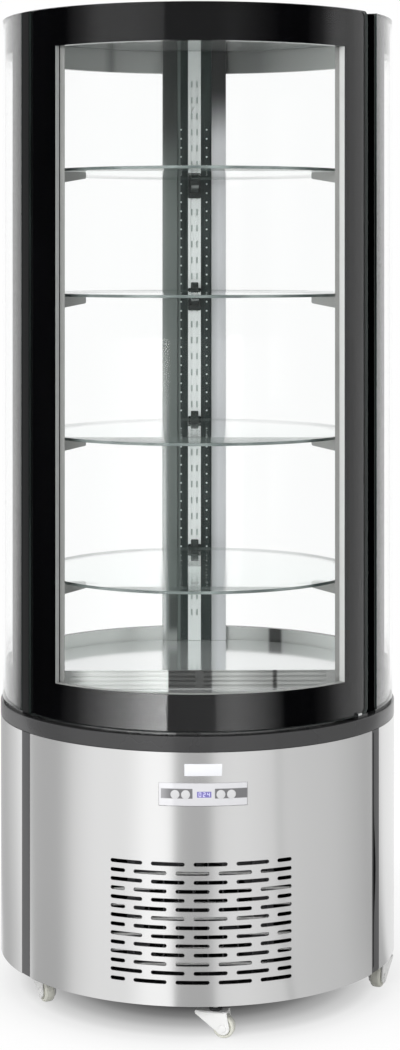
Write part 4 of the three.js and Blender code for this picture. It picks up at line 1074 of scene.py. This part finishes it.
def controls():
    """The printed film with the controller's case behind it, the display's figures and the buttons."""
    low, high = heights("control_plate")
    middle = (low + high) / 2
    face = BASE_RADIUS - CONTROL_RECESS
    back = face - CONTROL_THICKNESS
    half = span(CONTROL_HALF)
    profile = rectangle(back, face, low, high, steps=3)
    film = swept(profile, CONTROL_TURN - half, CONTROL_TURN + half, FINE_STEP)
    case = box_mesh(
        (-CASE_HALF_WIDTH, CASE_SETBACK - back, middle - CASE_HALF_HEIGHT),
        (CASE_HALF_WIDTH, CASE_SETBACK - back + CASE_DEPTH, middle + CASE_HALF_HEIGHT),
    )
    mesh = in_two_finishes([film], [turned(case, CONTROL_TURN)])
    new_piece("control_panel", mesh, "cabinet", [film_print, black_paint], ["control_plate"])
    bars = []
    for k, figure in enumerate(FIGURES):
        centre = sum(DISPLAY_FIELD) / 2 + (k - 1) * FIGURE_PITCH
        for x, z, wide, tall in digit_segments(figure, centre, (DISPLAY_LOW + DISPLAY_HIGH) / 2):
            angle, reach = CONTROL_TURN + span(x), span(wide / 2)
            outline = rectangle(face, face + FIGURE_PROUD, z - tall / 2, z + tall / 2, soft=0.00005, steps=1)
            bars.append(swept(outline, angle - reach, angle + reach, FINE_STEP))
    new_piece("display_figures", joined(*bars), "cabinet", segment_light)
    for i, place in enumerate(BUTTON_PLACES, 1):
        rim = BUTTON_LENGTH - BUTTON_DOME
        cap = disc_solid(BUTTON_RADIUS, 0.0, rim, EDGE_SOFT, sides=32, dome=BUTTON_DOME)
        shifted(turned(cap, 90.0, "X"), y=BUTTON_LENGTH - face - BUTTON_PROUD, z=middle)
        turned(cap, CONTROL_TURN + span(place))
        new_piece(f"button_cap_{i}", cap, f"button_{i}", button_grey, [f"button_{i}"])


def guard_bars():
    """The wire guard behind the louvre, in front of the machinery."""
    bars = []
    for i in range(GUARD_BARS):
        bar = disc_solid(GUARD_RADIUS, -LOUVRE_HALF, LOUVRE_HALF, EDGE_SOFT, sides=12)
        bars.append(shifted(turned(bar, 90.0, "Y"), y=GUARD_PLACE, z=GUARD_TOP - i * GUARD_PITCH))
    new_piece("louvre_guard", joined(*bars), "cabinet", guard_wire)


def badge_plate():
    """The plain plate above the controls."""
    radius, half = BASE_RADIUS - PANEL_SKIN, span(BADGE_HALF_LENGTH)
    low, high = BADGE_MIDDLE - BADGE_HALF_HEIGHT, BADGE_MIDDLE + BADGE_HALF_HEIGHT
    profile = rectangle(radius, radius + PLATE_PROUD, low, high, soft=0.0001)
    mesh = swept(profile, CONTROL_TURN - half, CONTROL_TURN + half, FINE_STEP)
    new_piece("plain_badge", mesh, "cabinet", badge_white)


# The interior


def folded(path, thickness, low, high):
    """A folded sheet in plan: the path is its front face and the thickness lies behind it."""
    back = []
    for i, point in enumerate(path):
        here = Vector(point)
        before = (here - Vector(path[i - 1])).normalized() if i else (Vector(path[1]) - here).normalized()
        after = (Vector(path[i + 1]) - here).normalized() if i < len(path) - 1 else before
        mitre = Vector((-before.y - after.y, before.x + after.x))
        back.append(here + mitre * (thickness / (1 + before.dot(after))))
    outline = soft_corners([*path, *reversed([tuple(p) for p in back])], radius=0.001, steps=3)
    return shifted(extruded(outline, high - low), z=low)


def rear_column():
    """The folded column, its recess in the second material."""
    right = [
        (RECESS_HALF, COLUMN_FRONT + RECESS_DEPTH),
        (RECESS_HALF, COLUMN_FRONT),
        (COLUMN_HALF, COLUMN_FRONT),
        (COLUMN_HALF, COLUMN_FRONT + COLUMN_DEPTH),
    ]
    mesh = folded([(-x, y) for x, y in reversed(right)] + right, COLUMN_WALL, UPRIGHT_LOW, UPRIGHT_HIGH)

    def in_recess(face):
        x, y, z = face.center
        return abs(x) < RECESS_HALF + THIN_SOFT and face.normal.y < 0.5 and y > COLUMN_FRONT + RECESS_SHOWS

    finishes = [column_steel, recess_green]
    second_where(mesh, in_recess)
    new_piece("column_sheet", mesh, "cabinet", finishes, ["rear_column"], smooth_angle=30.0)


def sill_lining():
    """A light plate close behind the sill's slots; in the deck's finish it carries the sill's painted
    reflections across them.
    """
    far = SILL_PLACE + SILL_THICKNESS
    mesh = box_mesh((-SILL_HALF, SILL_PLACE, SILL_LOW), (SILL_HALF, far, SILL_HIGH), THIN_SOFT)
    new_piece("sill_backing", mesh, "cabinet", deck_steel)


def rear_standard():
    """A slotted channel: its front face has the hook slots, with a pale strip behind them."""
    shelf = heights("shelf_1")[0]
    row = math.ceil((UPRIGHT_LOW + STANDARD_END - shelf) / SLOT_ROW_PITCH)
    holes = []
    while shelf + row * SLOT_ROW_PITCH <= UPRIGHT_HIGH - STANDARD_END:
        low = shelf + row * SLOT_ROW_PITCH - UPRIGHT_LOW - SLOT_TALL / 2
        for x in (-HOOK_SPREAD, HOOK_SPREAD):
            hole = corners(x - SLOT_WIDTH / 2, low, x + SLOT_WIDTH / 2, low + SLOT_TALL)
            holes.append(soft_corners(hole, SLOT_WIDTH * 0.25, steps=1))
        row += 1
    sheet = slotted_sheet(2 * STANDARD_HALF, UPRIGHT_HIGH - UPRIGHT_LOW, holes, STANDARD_WALL, cut_step=1.0)
    for vert in sheet.verts:
        x, y, z = vert.co
        vert.co = (x, UPRIGHT_FACE + STANDARD_WALL / 2 - z, UPRIGHT_LOW + y)
    front, back = UPRIGHT_FACE + STANDARD_WALL, COLUMN_FRONT + RECESS_DEPTH - SEAT_GAP
    edge = STANDARD_HALF - STANDARD_WALL
    parts = [mesh_of(sheet)]
    for left, right in ((-STANDARD_HALF, -edge), (edge, STANDARD_HALF)):
        parts.append(box_mesh((left, front, UPRIGHT_LOW), (right, back, UPRIGHT_HIGH), soft=0.0003))
    channel = joined(*parts)
    nodes = ["rear_standard"]
    new_piece("standard_channel", channel, "cabinet", standard_paint, nodes, smooth_angle=30.0)
    half, near = edge - LINING_PLAY, UPRIGHT_FACE + LINING_SETBACK
    low, high = UPRIGHT_LOW + LINING_END, UPRIGHT_HIGH - LINING_END
    lining = box_mesh((-half, near, low), (half, near + LINING_THICKNESS, high), THIN_SOFT)
    new_piece("standard_lining", lining, "cabinet", slot_shade)


def light_strips():
    """The two strips of small lights in the column's recess."""
    for side in ("left", "right"):
        low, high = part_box(f"led_strip_{side}")
        count = int((high.z - low.z) / LIGHT_PITCH)
        first = (low.z + high.z) / 2 - (count - 1) / 2 * LIGHT_PITCH
        middle = (low.x + high.x) / 2 - LIGHT_ASIDE
        domes = []
        for i in range(count):
            dome = disc_solid(LIGHT_RADIUS, -LIGHT_SINK, LIGHT_RISE, LIGHT_SOFT, sides=10, dome=LIGHT_DOME)
            domes.append(shifted(turned(dome, 90.0, "X"), middle, low.y, first + i * LIGHT_PITCH))
        mesh = in_two_finishes([box_mesh(low, high, soft=0.0005)], domes)
        finishes, node = [recess_green, light_dots], f"led_strip_{side}"
        new_piece(f"light_strip_{side}", mesh, "cabinet", finishes, [node])


def shelves():
    """The round glass shelves, their ground edges in the second material."""
    for level in SHELVES:
        body = f"shelf_{level}"
        mesh = disc_solid(SHELF_RADIUS, *heights(body), soft=0.0009, sides=120)
        second_where(mesh, lambda face: abs(face.normal.z) <= 0.98)
        finishes = [shelf_glass, shelf_edge]
        new_piece(f"shelf_plate_{level}", mesh, body, finishes, [body], smooth_angle=30.0)


def bracket_profile():
    """The bracket's side outline in (radius, height from the shelf's underside)."""
    foot = UPRIGHT_FACE - SEAT_GAP - BRACKET_PLATE + BRACKET_WELD
    tip = UPRIGHT_FACE - BRACKET_REACH
    lug_inner, lug_outer = SHELF_RADIUS + LUG_PLAY, SHELF_RADIUS + LUG_PLAY + LUG_THICKNESS
    outline = [
        (foot, -SEAT_GAP),
        (lug_outer, -SEAT_GAP),
        (lug_outer, LUG_RISE),
        (lug_inner, LUG_RISE),
        (lug_inner, -SEAT_GAP),
        (tip, -SEAT_GAP),
        (tip, -BRACKET_TIP),
        (foot, -BRACKET_ROOT),
    ]
    return soft_corners(outline, radius=0.0025, steps=4)


def bracket(hooks):
    """One bracket at the front: its arm, plate and rivets, and hooks at these distances from its middle."""
    arm = shifted(extruded(bracket_profile(), BRACKET_WIDTH, soft=0.0009), z=-BRACKET_WIDTH / 2)
    arm.transform(Matrix(((0, 0, 1, 0), (-1, 0, 0, 0), (0, 1, 0, 0), (0, 0, 0, 1))))
    back = SEAT_GAP - UPRIGHT_FACE
    front, half = back + BRACKET_PLATE, BRACKET_PLATE_WIDTH / 2
    parts = [arm, box_mesh((-half, back, -BRACKET_DROP), (half, front, BRACKET_RISE), soft=0.0009)]
    for x in hooks:
        low = (x - HOOK_HALF_WIDTH, back - HOOK_REACH, -HOOK_HALF_HEIGHT)
        high = (x + HOOK_HALF_WIDTH, back + HOOK_WELD, HOOK_HALF_HEIGHT)
        parts.append(box_mesh(low, high, soft=0.0003))
    for z in RIVET_PLACES:
        for x in (-RIVET_ASIDE, RIVET_ASIDE):
            head = disc_solid(RIVET_RADIUS, 0.0, RIVET_HEIGHT, soft=0.0005, sides=16, dome=RIVET_DOME)
            parts.append(shifted(turned(head, -90.0, "X"), x, front - RIVET_SINK, z))
    return joined(*parts)


def brackets():
    """Three brackets under each shelf, on the posts and the rear standard."""
    for level in SHELVES:
        for side, angle in BRACKET_SIDES.items():
            rear = side == "rear"
            mesh = turned(bracket((-HOOK_SPREAD, HOOK_SPREAD) if rear else (0.0,)), angle)
            shifted(mesh, z=heights(f"shelf_{level}")[0])
            name, finish = f"bracket_arm_{level}_{side}", bracket_dark if rear else bracket_grey
            new_piece(name, mesh, "cabinet", finish, [f"bracket_{level}_{side}"])


# The castors


def fork_cheek(side, steps=10):
    """One cheek of the fork, from this place across the wheel outwards."""
    nose = [math.radians(NOSE_START + NOSE_TURN * i / steps) for i in range(steps + 1)]
    outline = [
        (-FORK_HEAD_FRONT, FORK_TOP),
        (-FORK_HEAD_FRONT, FORK_TOP - FORK_SKIRT),
        *((CASTOR_TRAIL + FORK_NOSE * math.cos(a), WHEEL_RADIUS + FORK_NOSE * math.sin(a)) for a in nose),
        (FORK_HEAD_BACK, FORK_TOP - FORK_SKIRT),
        (FORK_HEAD_BACK, FORK_TOP),
    ]
    cheek = extruded(outline, FORK_WALL, soft=0.0008)
    cheek.transform(Matrix(((1, 0, 0, 0), (0, 0, 1, side), (0, 1, 0, 0), (0, 0, 0, 1))))
    return cheek


def on_axle(mesh):
    """A round part made about z, laid along the wheel's axle."""
    return shifted(turned(mesh, -90.0, "X"), x=CASTOR_TRAIL, z=WHEEL_RADIUS)


def castor_fork():
    """Two cheeks, a pressed head, the axle with its caps, and the stem with its flange and race."""
    inside = WHEEL_WIDTH / 2 + FORK_PLAY
    wide = inside + FORK_WALL
    head = soft_corners(corners(-FORK_HEAD_FRONT, -wide, FORK_HEAD_BACK, wide), FORK_ROUND, steps=5)
    pale = [
        fork_cheek(-wide),
        fork_cheek(inside),
        shifted(extruded(head, FORK_WALL, soft=0.0008), z=FORK_TOP - FORK_WALL),
        on_axle(disc_solid(AXLE_CAP, inside + AXLE_CAP_GAP, wide + AXLE_CAP_PROUD, soft=0.0008, sides=24)),
        on_axle(disc_solid(AXLE_CAP, -wide - AXLE_CAP_PROUD, -inside - AXLE_CAP_GAP, soft=0.0008, sides=24)),
        disc_solid(STEM_RADIUS, FORK_TOP - STEM_WELD, STEM_TOP, EDGE_SOFT, sides=24),
    ]
    dark = [
        on_axle(disc_solid(AXLE_RADIUS, -inside - FORK_PLAY, inside + FORK_PLAY, soft=0.0003, sides=16)),
        disc_solid(FLANGE_RADIUS, FLANGE_LOW, FLANGE_HIGH, soft=0.0008, sides=32),
        disc_solid(RACE_RADIUS, FORK_TOP - RACE_WELD, RACE_HIGH, soft=0.0010, sides=32),
    ]
    return in_two_finishes(pale, dark)


def castor_wheel():
    """A moulded wheel: a rounded tread, a dished side and a hub."""
    half = WHEEL_WIDTH / 2
    near = [(radius, inset - half) for radius, inset in WHEEL_SIDE]
    far = [(radius, half - inset) for radius, inset in reversed(WHEEL_SIDE)]
    return on_axle(turned_profile(soft_corners(near + far, 0.0008), sides=40))


def castors():
    fork_shape, wheel_shape = castor_fork(), castor_wheel()
    rows = zip(CASTOR_SETBACK_SHARES, CASTOR_ANGLES, CASTOR_HEADINGS)
    for i, (share, angle, heading) in enumerate(rows, 1):
        place = polar(BASE_RADIUS - CASTOR_SETBACK * share, angle)
        fork, wheel = (shifted(turned(shape.copy(), heading), *place) for shape in (fork_shape, wheel_shape))
        finishes = [castor_grey, castor_dark]
        new_piece(f"castor_body_{i}", fork, f"castor_{i}", finishes, [f"castor_fork_{i}"])
        new_piece(f"castor_tyre_{i}", wheel, f"wheel_{i}", wheel_cream, [f"castor_wheel_{i}"])


door_leaf()
door_gasket()
door_grip()
fixed_units()
collar()
base_panels()
base_trims()
painted_shadow_strip()
controls()
guard_bars()
badge_plate()
hinge_tab()
sill_lining()
rear_column()
rear_standard()
light_strips()
shelves()
brackets()
castors()

# The CAD nodes that keep their own shape, with their finishes
FINISHES = {
    "base_frame": frame_paint,
    "deck": deck_steel,
    "top_cap": black_paint,
    "ceiling_panel": ceiling_steel,
    "post_left": post_black,
    "post_right": post_black,
    "compressor": black_paint,
    "condenser": fin_alloy,
    "condenser_fan": black_paint,
    "evaporator": fin_alloy,
}
for node_name, finish in FINISHES.items():
    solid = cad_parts[node_name]
    solid.data.materials.clear()
    solid.data.materials.append(finish)


# The floor, the studio and the camera


def by_bearing(tree, turn, stops):
    """Grey levels by bearing from the front in degrees."""
    places = [((angle + 180.0) / 360.0, (level, level, level)) for angle, level in stops]
    return tree.ramp(turn * (1.0 / 360.0) + 0.5, places)


def room(tree, turn, sharp, steel_turn):
    """The room as reflections see it: one pattern of light and dark for glass, a softer one for steel."""
    soft = by_bearing(tree, steel_turn, STEEL_ROOM)
    return tree.mix(tree.ray("Singular"), soft, by_bearing(tree, turn, sharp))


def floor():
    """White to look at, with the cabinet's soft shadow, partly real and partly painted into its glow by
    distance; reflections see the room's pattern on it, dimmed by painted shade near the base.
    """
    tree = Finish("studio floor")
    glossy, diffuse = tree.ray("Glossy"), tree.ray("Diffuse")
    x, y, z = tree.place()
    turn, z = tree.around()
    radius = (x * x + y * y) ** 0.5
    far = radius.smooth(SHADOW_NEAR, SHADOW_FAR)
    # Painted shadow: the floor's glow darkens towards the middle, under the cabinet.
    painted_shadow = tree.ramp(radius, [(place, (level, level, level)) for place, level in FLOOR_PAINTED_SHADOW])
    # Painted shade in reflections: the room's pattern dimmed close to the base.
    near = radius.smooth(DIM_NEAR, DIM_FAR) * (1.0 - DIM_LEVEL) + DIM_LEVEL
    fan = (radius * 2.0) / (radius * 2.0 - BASE_RADIUS) * STEEL_FAN
    steel_turn = turn * ((turn > 0.0) * (1.0 - fan) * RIGHT_FAN_SHARE + fan)
    reflected = tree.mix(near, BLACK, room(tree, turn, GLASS_FLOOR, steel_turn))
    glow = tree.mix(glossy, tree.mix(far, painted_shadow, WHITE), reflected)
    own = tree.mix(glossy, tree.mix(far, (FLOOR_SHADED,) * 3, BLACK), BLACK)
    mesh = disc_solid(FLOOR_RADIUS, -FLOOR_DEPTH, 0.0, soft=0.002, sides=96)
    mesh.materials.append(
        tree.surface(
            Base_Color=tree.mix(diffuse, own, (0.8, 0.8, 0.8)),
            Roughness=1.0,
            Specular_IOR_Level=0.0,
            Emission_Color=tree.mix(diffuse, glow, BLACK),
            Emission_Strength=1.0,
        )
    )
    piece = bpy.data.objects.new("studio_floor", mesh)
    scene.collection.objects.link(piece)


def studio():
    """White to look at; a room of lighter and darker walls for reflections; even light on the rest."""
    scene.world = bpy.data.worlds.new("studio")
    tree = Tree(scene.world)
    turn, z = tree.around("Generated")
    seen = tree.mix(tree.ray("Glossy"), WHITE, room(tree, turn, GLASS_WALLS, turn))
    light = tree.mix(tree.ray("Diffuse"), seen, (DAYLIGHT,) * 3)
    tree.add("ShaderNodeOutputWorld", Surface=tree.add("ShaderNodeBackground", Color=light, Strength=1.0))


def lamp(name, place, aim, size, power):
    """A soft panel lamp that lights the pieces without showing in them."""
    data = bpy.data.lights.new(name, "AREA")
    data.shape = "RECTANGLE"
    data.size, data.size_y = size
    data.energy = power
    light = bpy.data.objects.new(name, data)
    light.location = place
    light.rotation_euler = (Vector(aim) - Vector(place)).to_track_quat("-Z", "Y").to_euler()
    light.visible_glossy = False
    scene.collection.objects.link(light)


def camera():
    data = bpy.data.cameras.new("camera")
    data.lens = LENS
    data.shift_x, data.shift_y = SHIFT_X, SHIFT_Y
    eye = bpy.data.objects.new("camera", data)
    eye.location = polar(CAMERA_DISTANCE, CAMERA_AZIMUTH, CAMERA_HEIGHT)
    eye.rotation_euler = (math.radians(90.0), 0.0, math.radians(CAMERA_AZIMUTH))
    scene.collection.objects.link(eye)
    scene.camera = eye


floor()
studio()
lamp("overhead", (0.0, -0.6, 3.4), (0.0, 0.0, 0.6), (2.6, 2.6), 45.0)
lamp("front_left", (-1.2, -3.4, 2.0), (0.0, 0.0, 0.9), (1.4, 2.2), 72.0)
camera()
scene.view_settings.view_transform = "Standard"
scene.cycles.transparent_max_bounces = 64
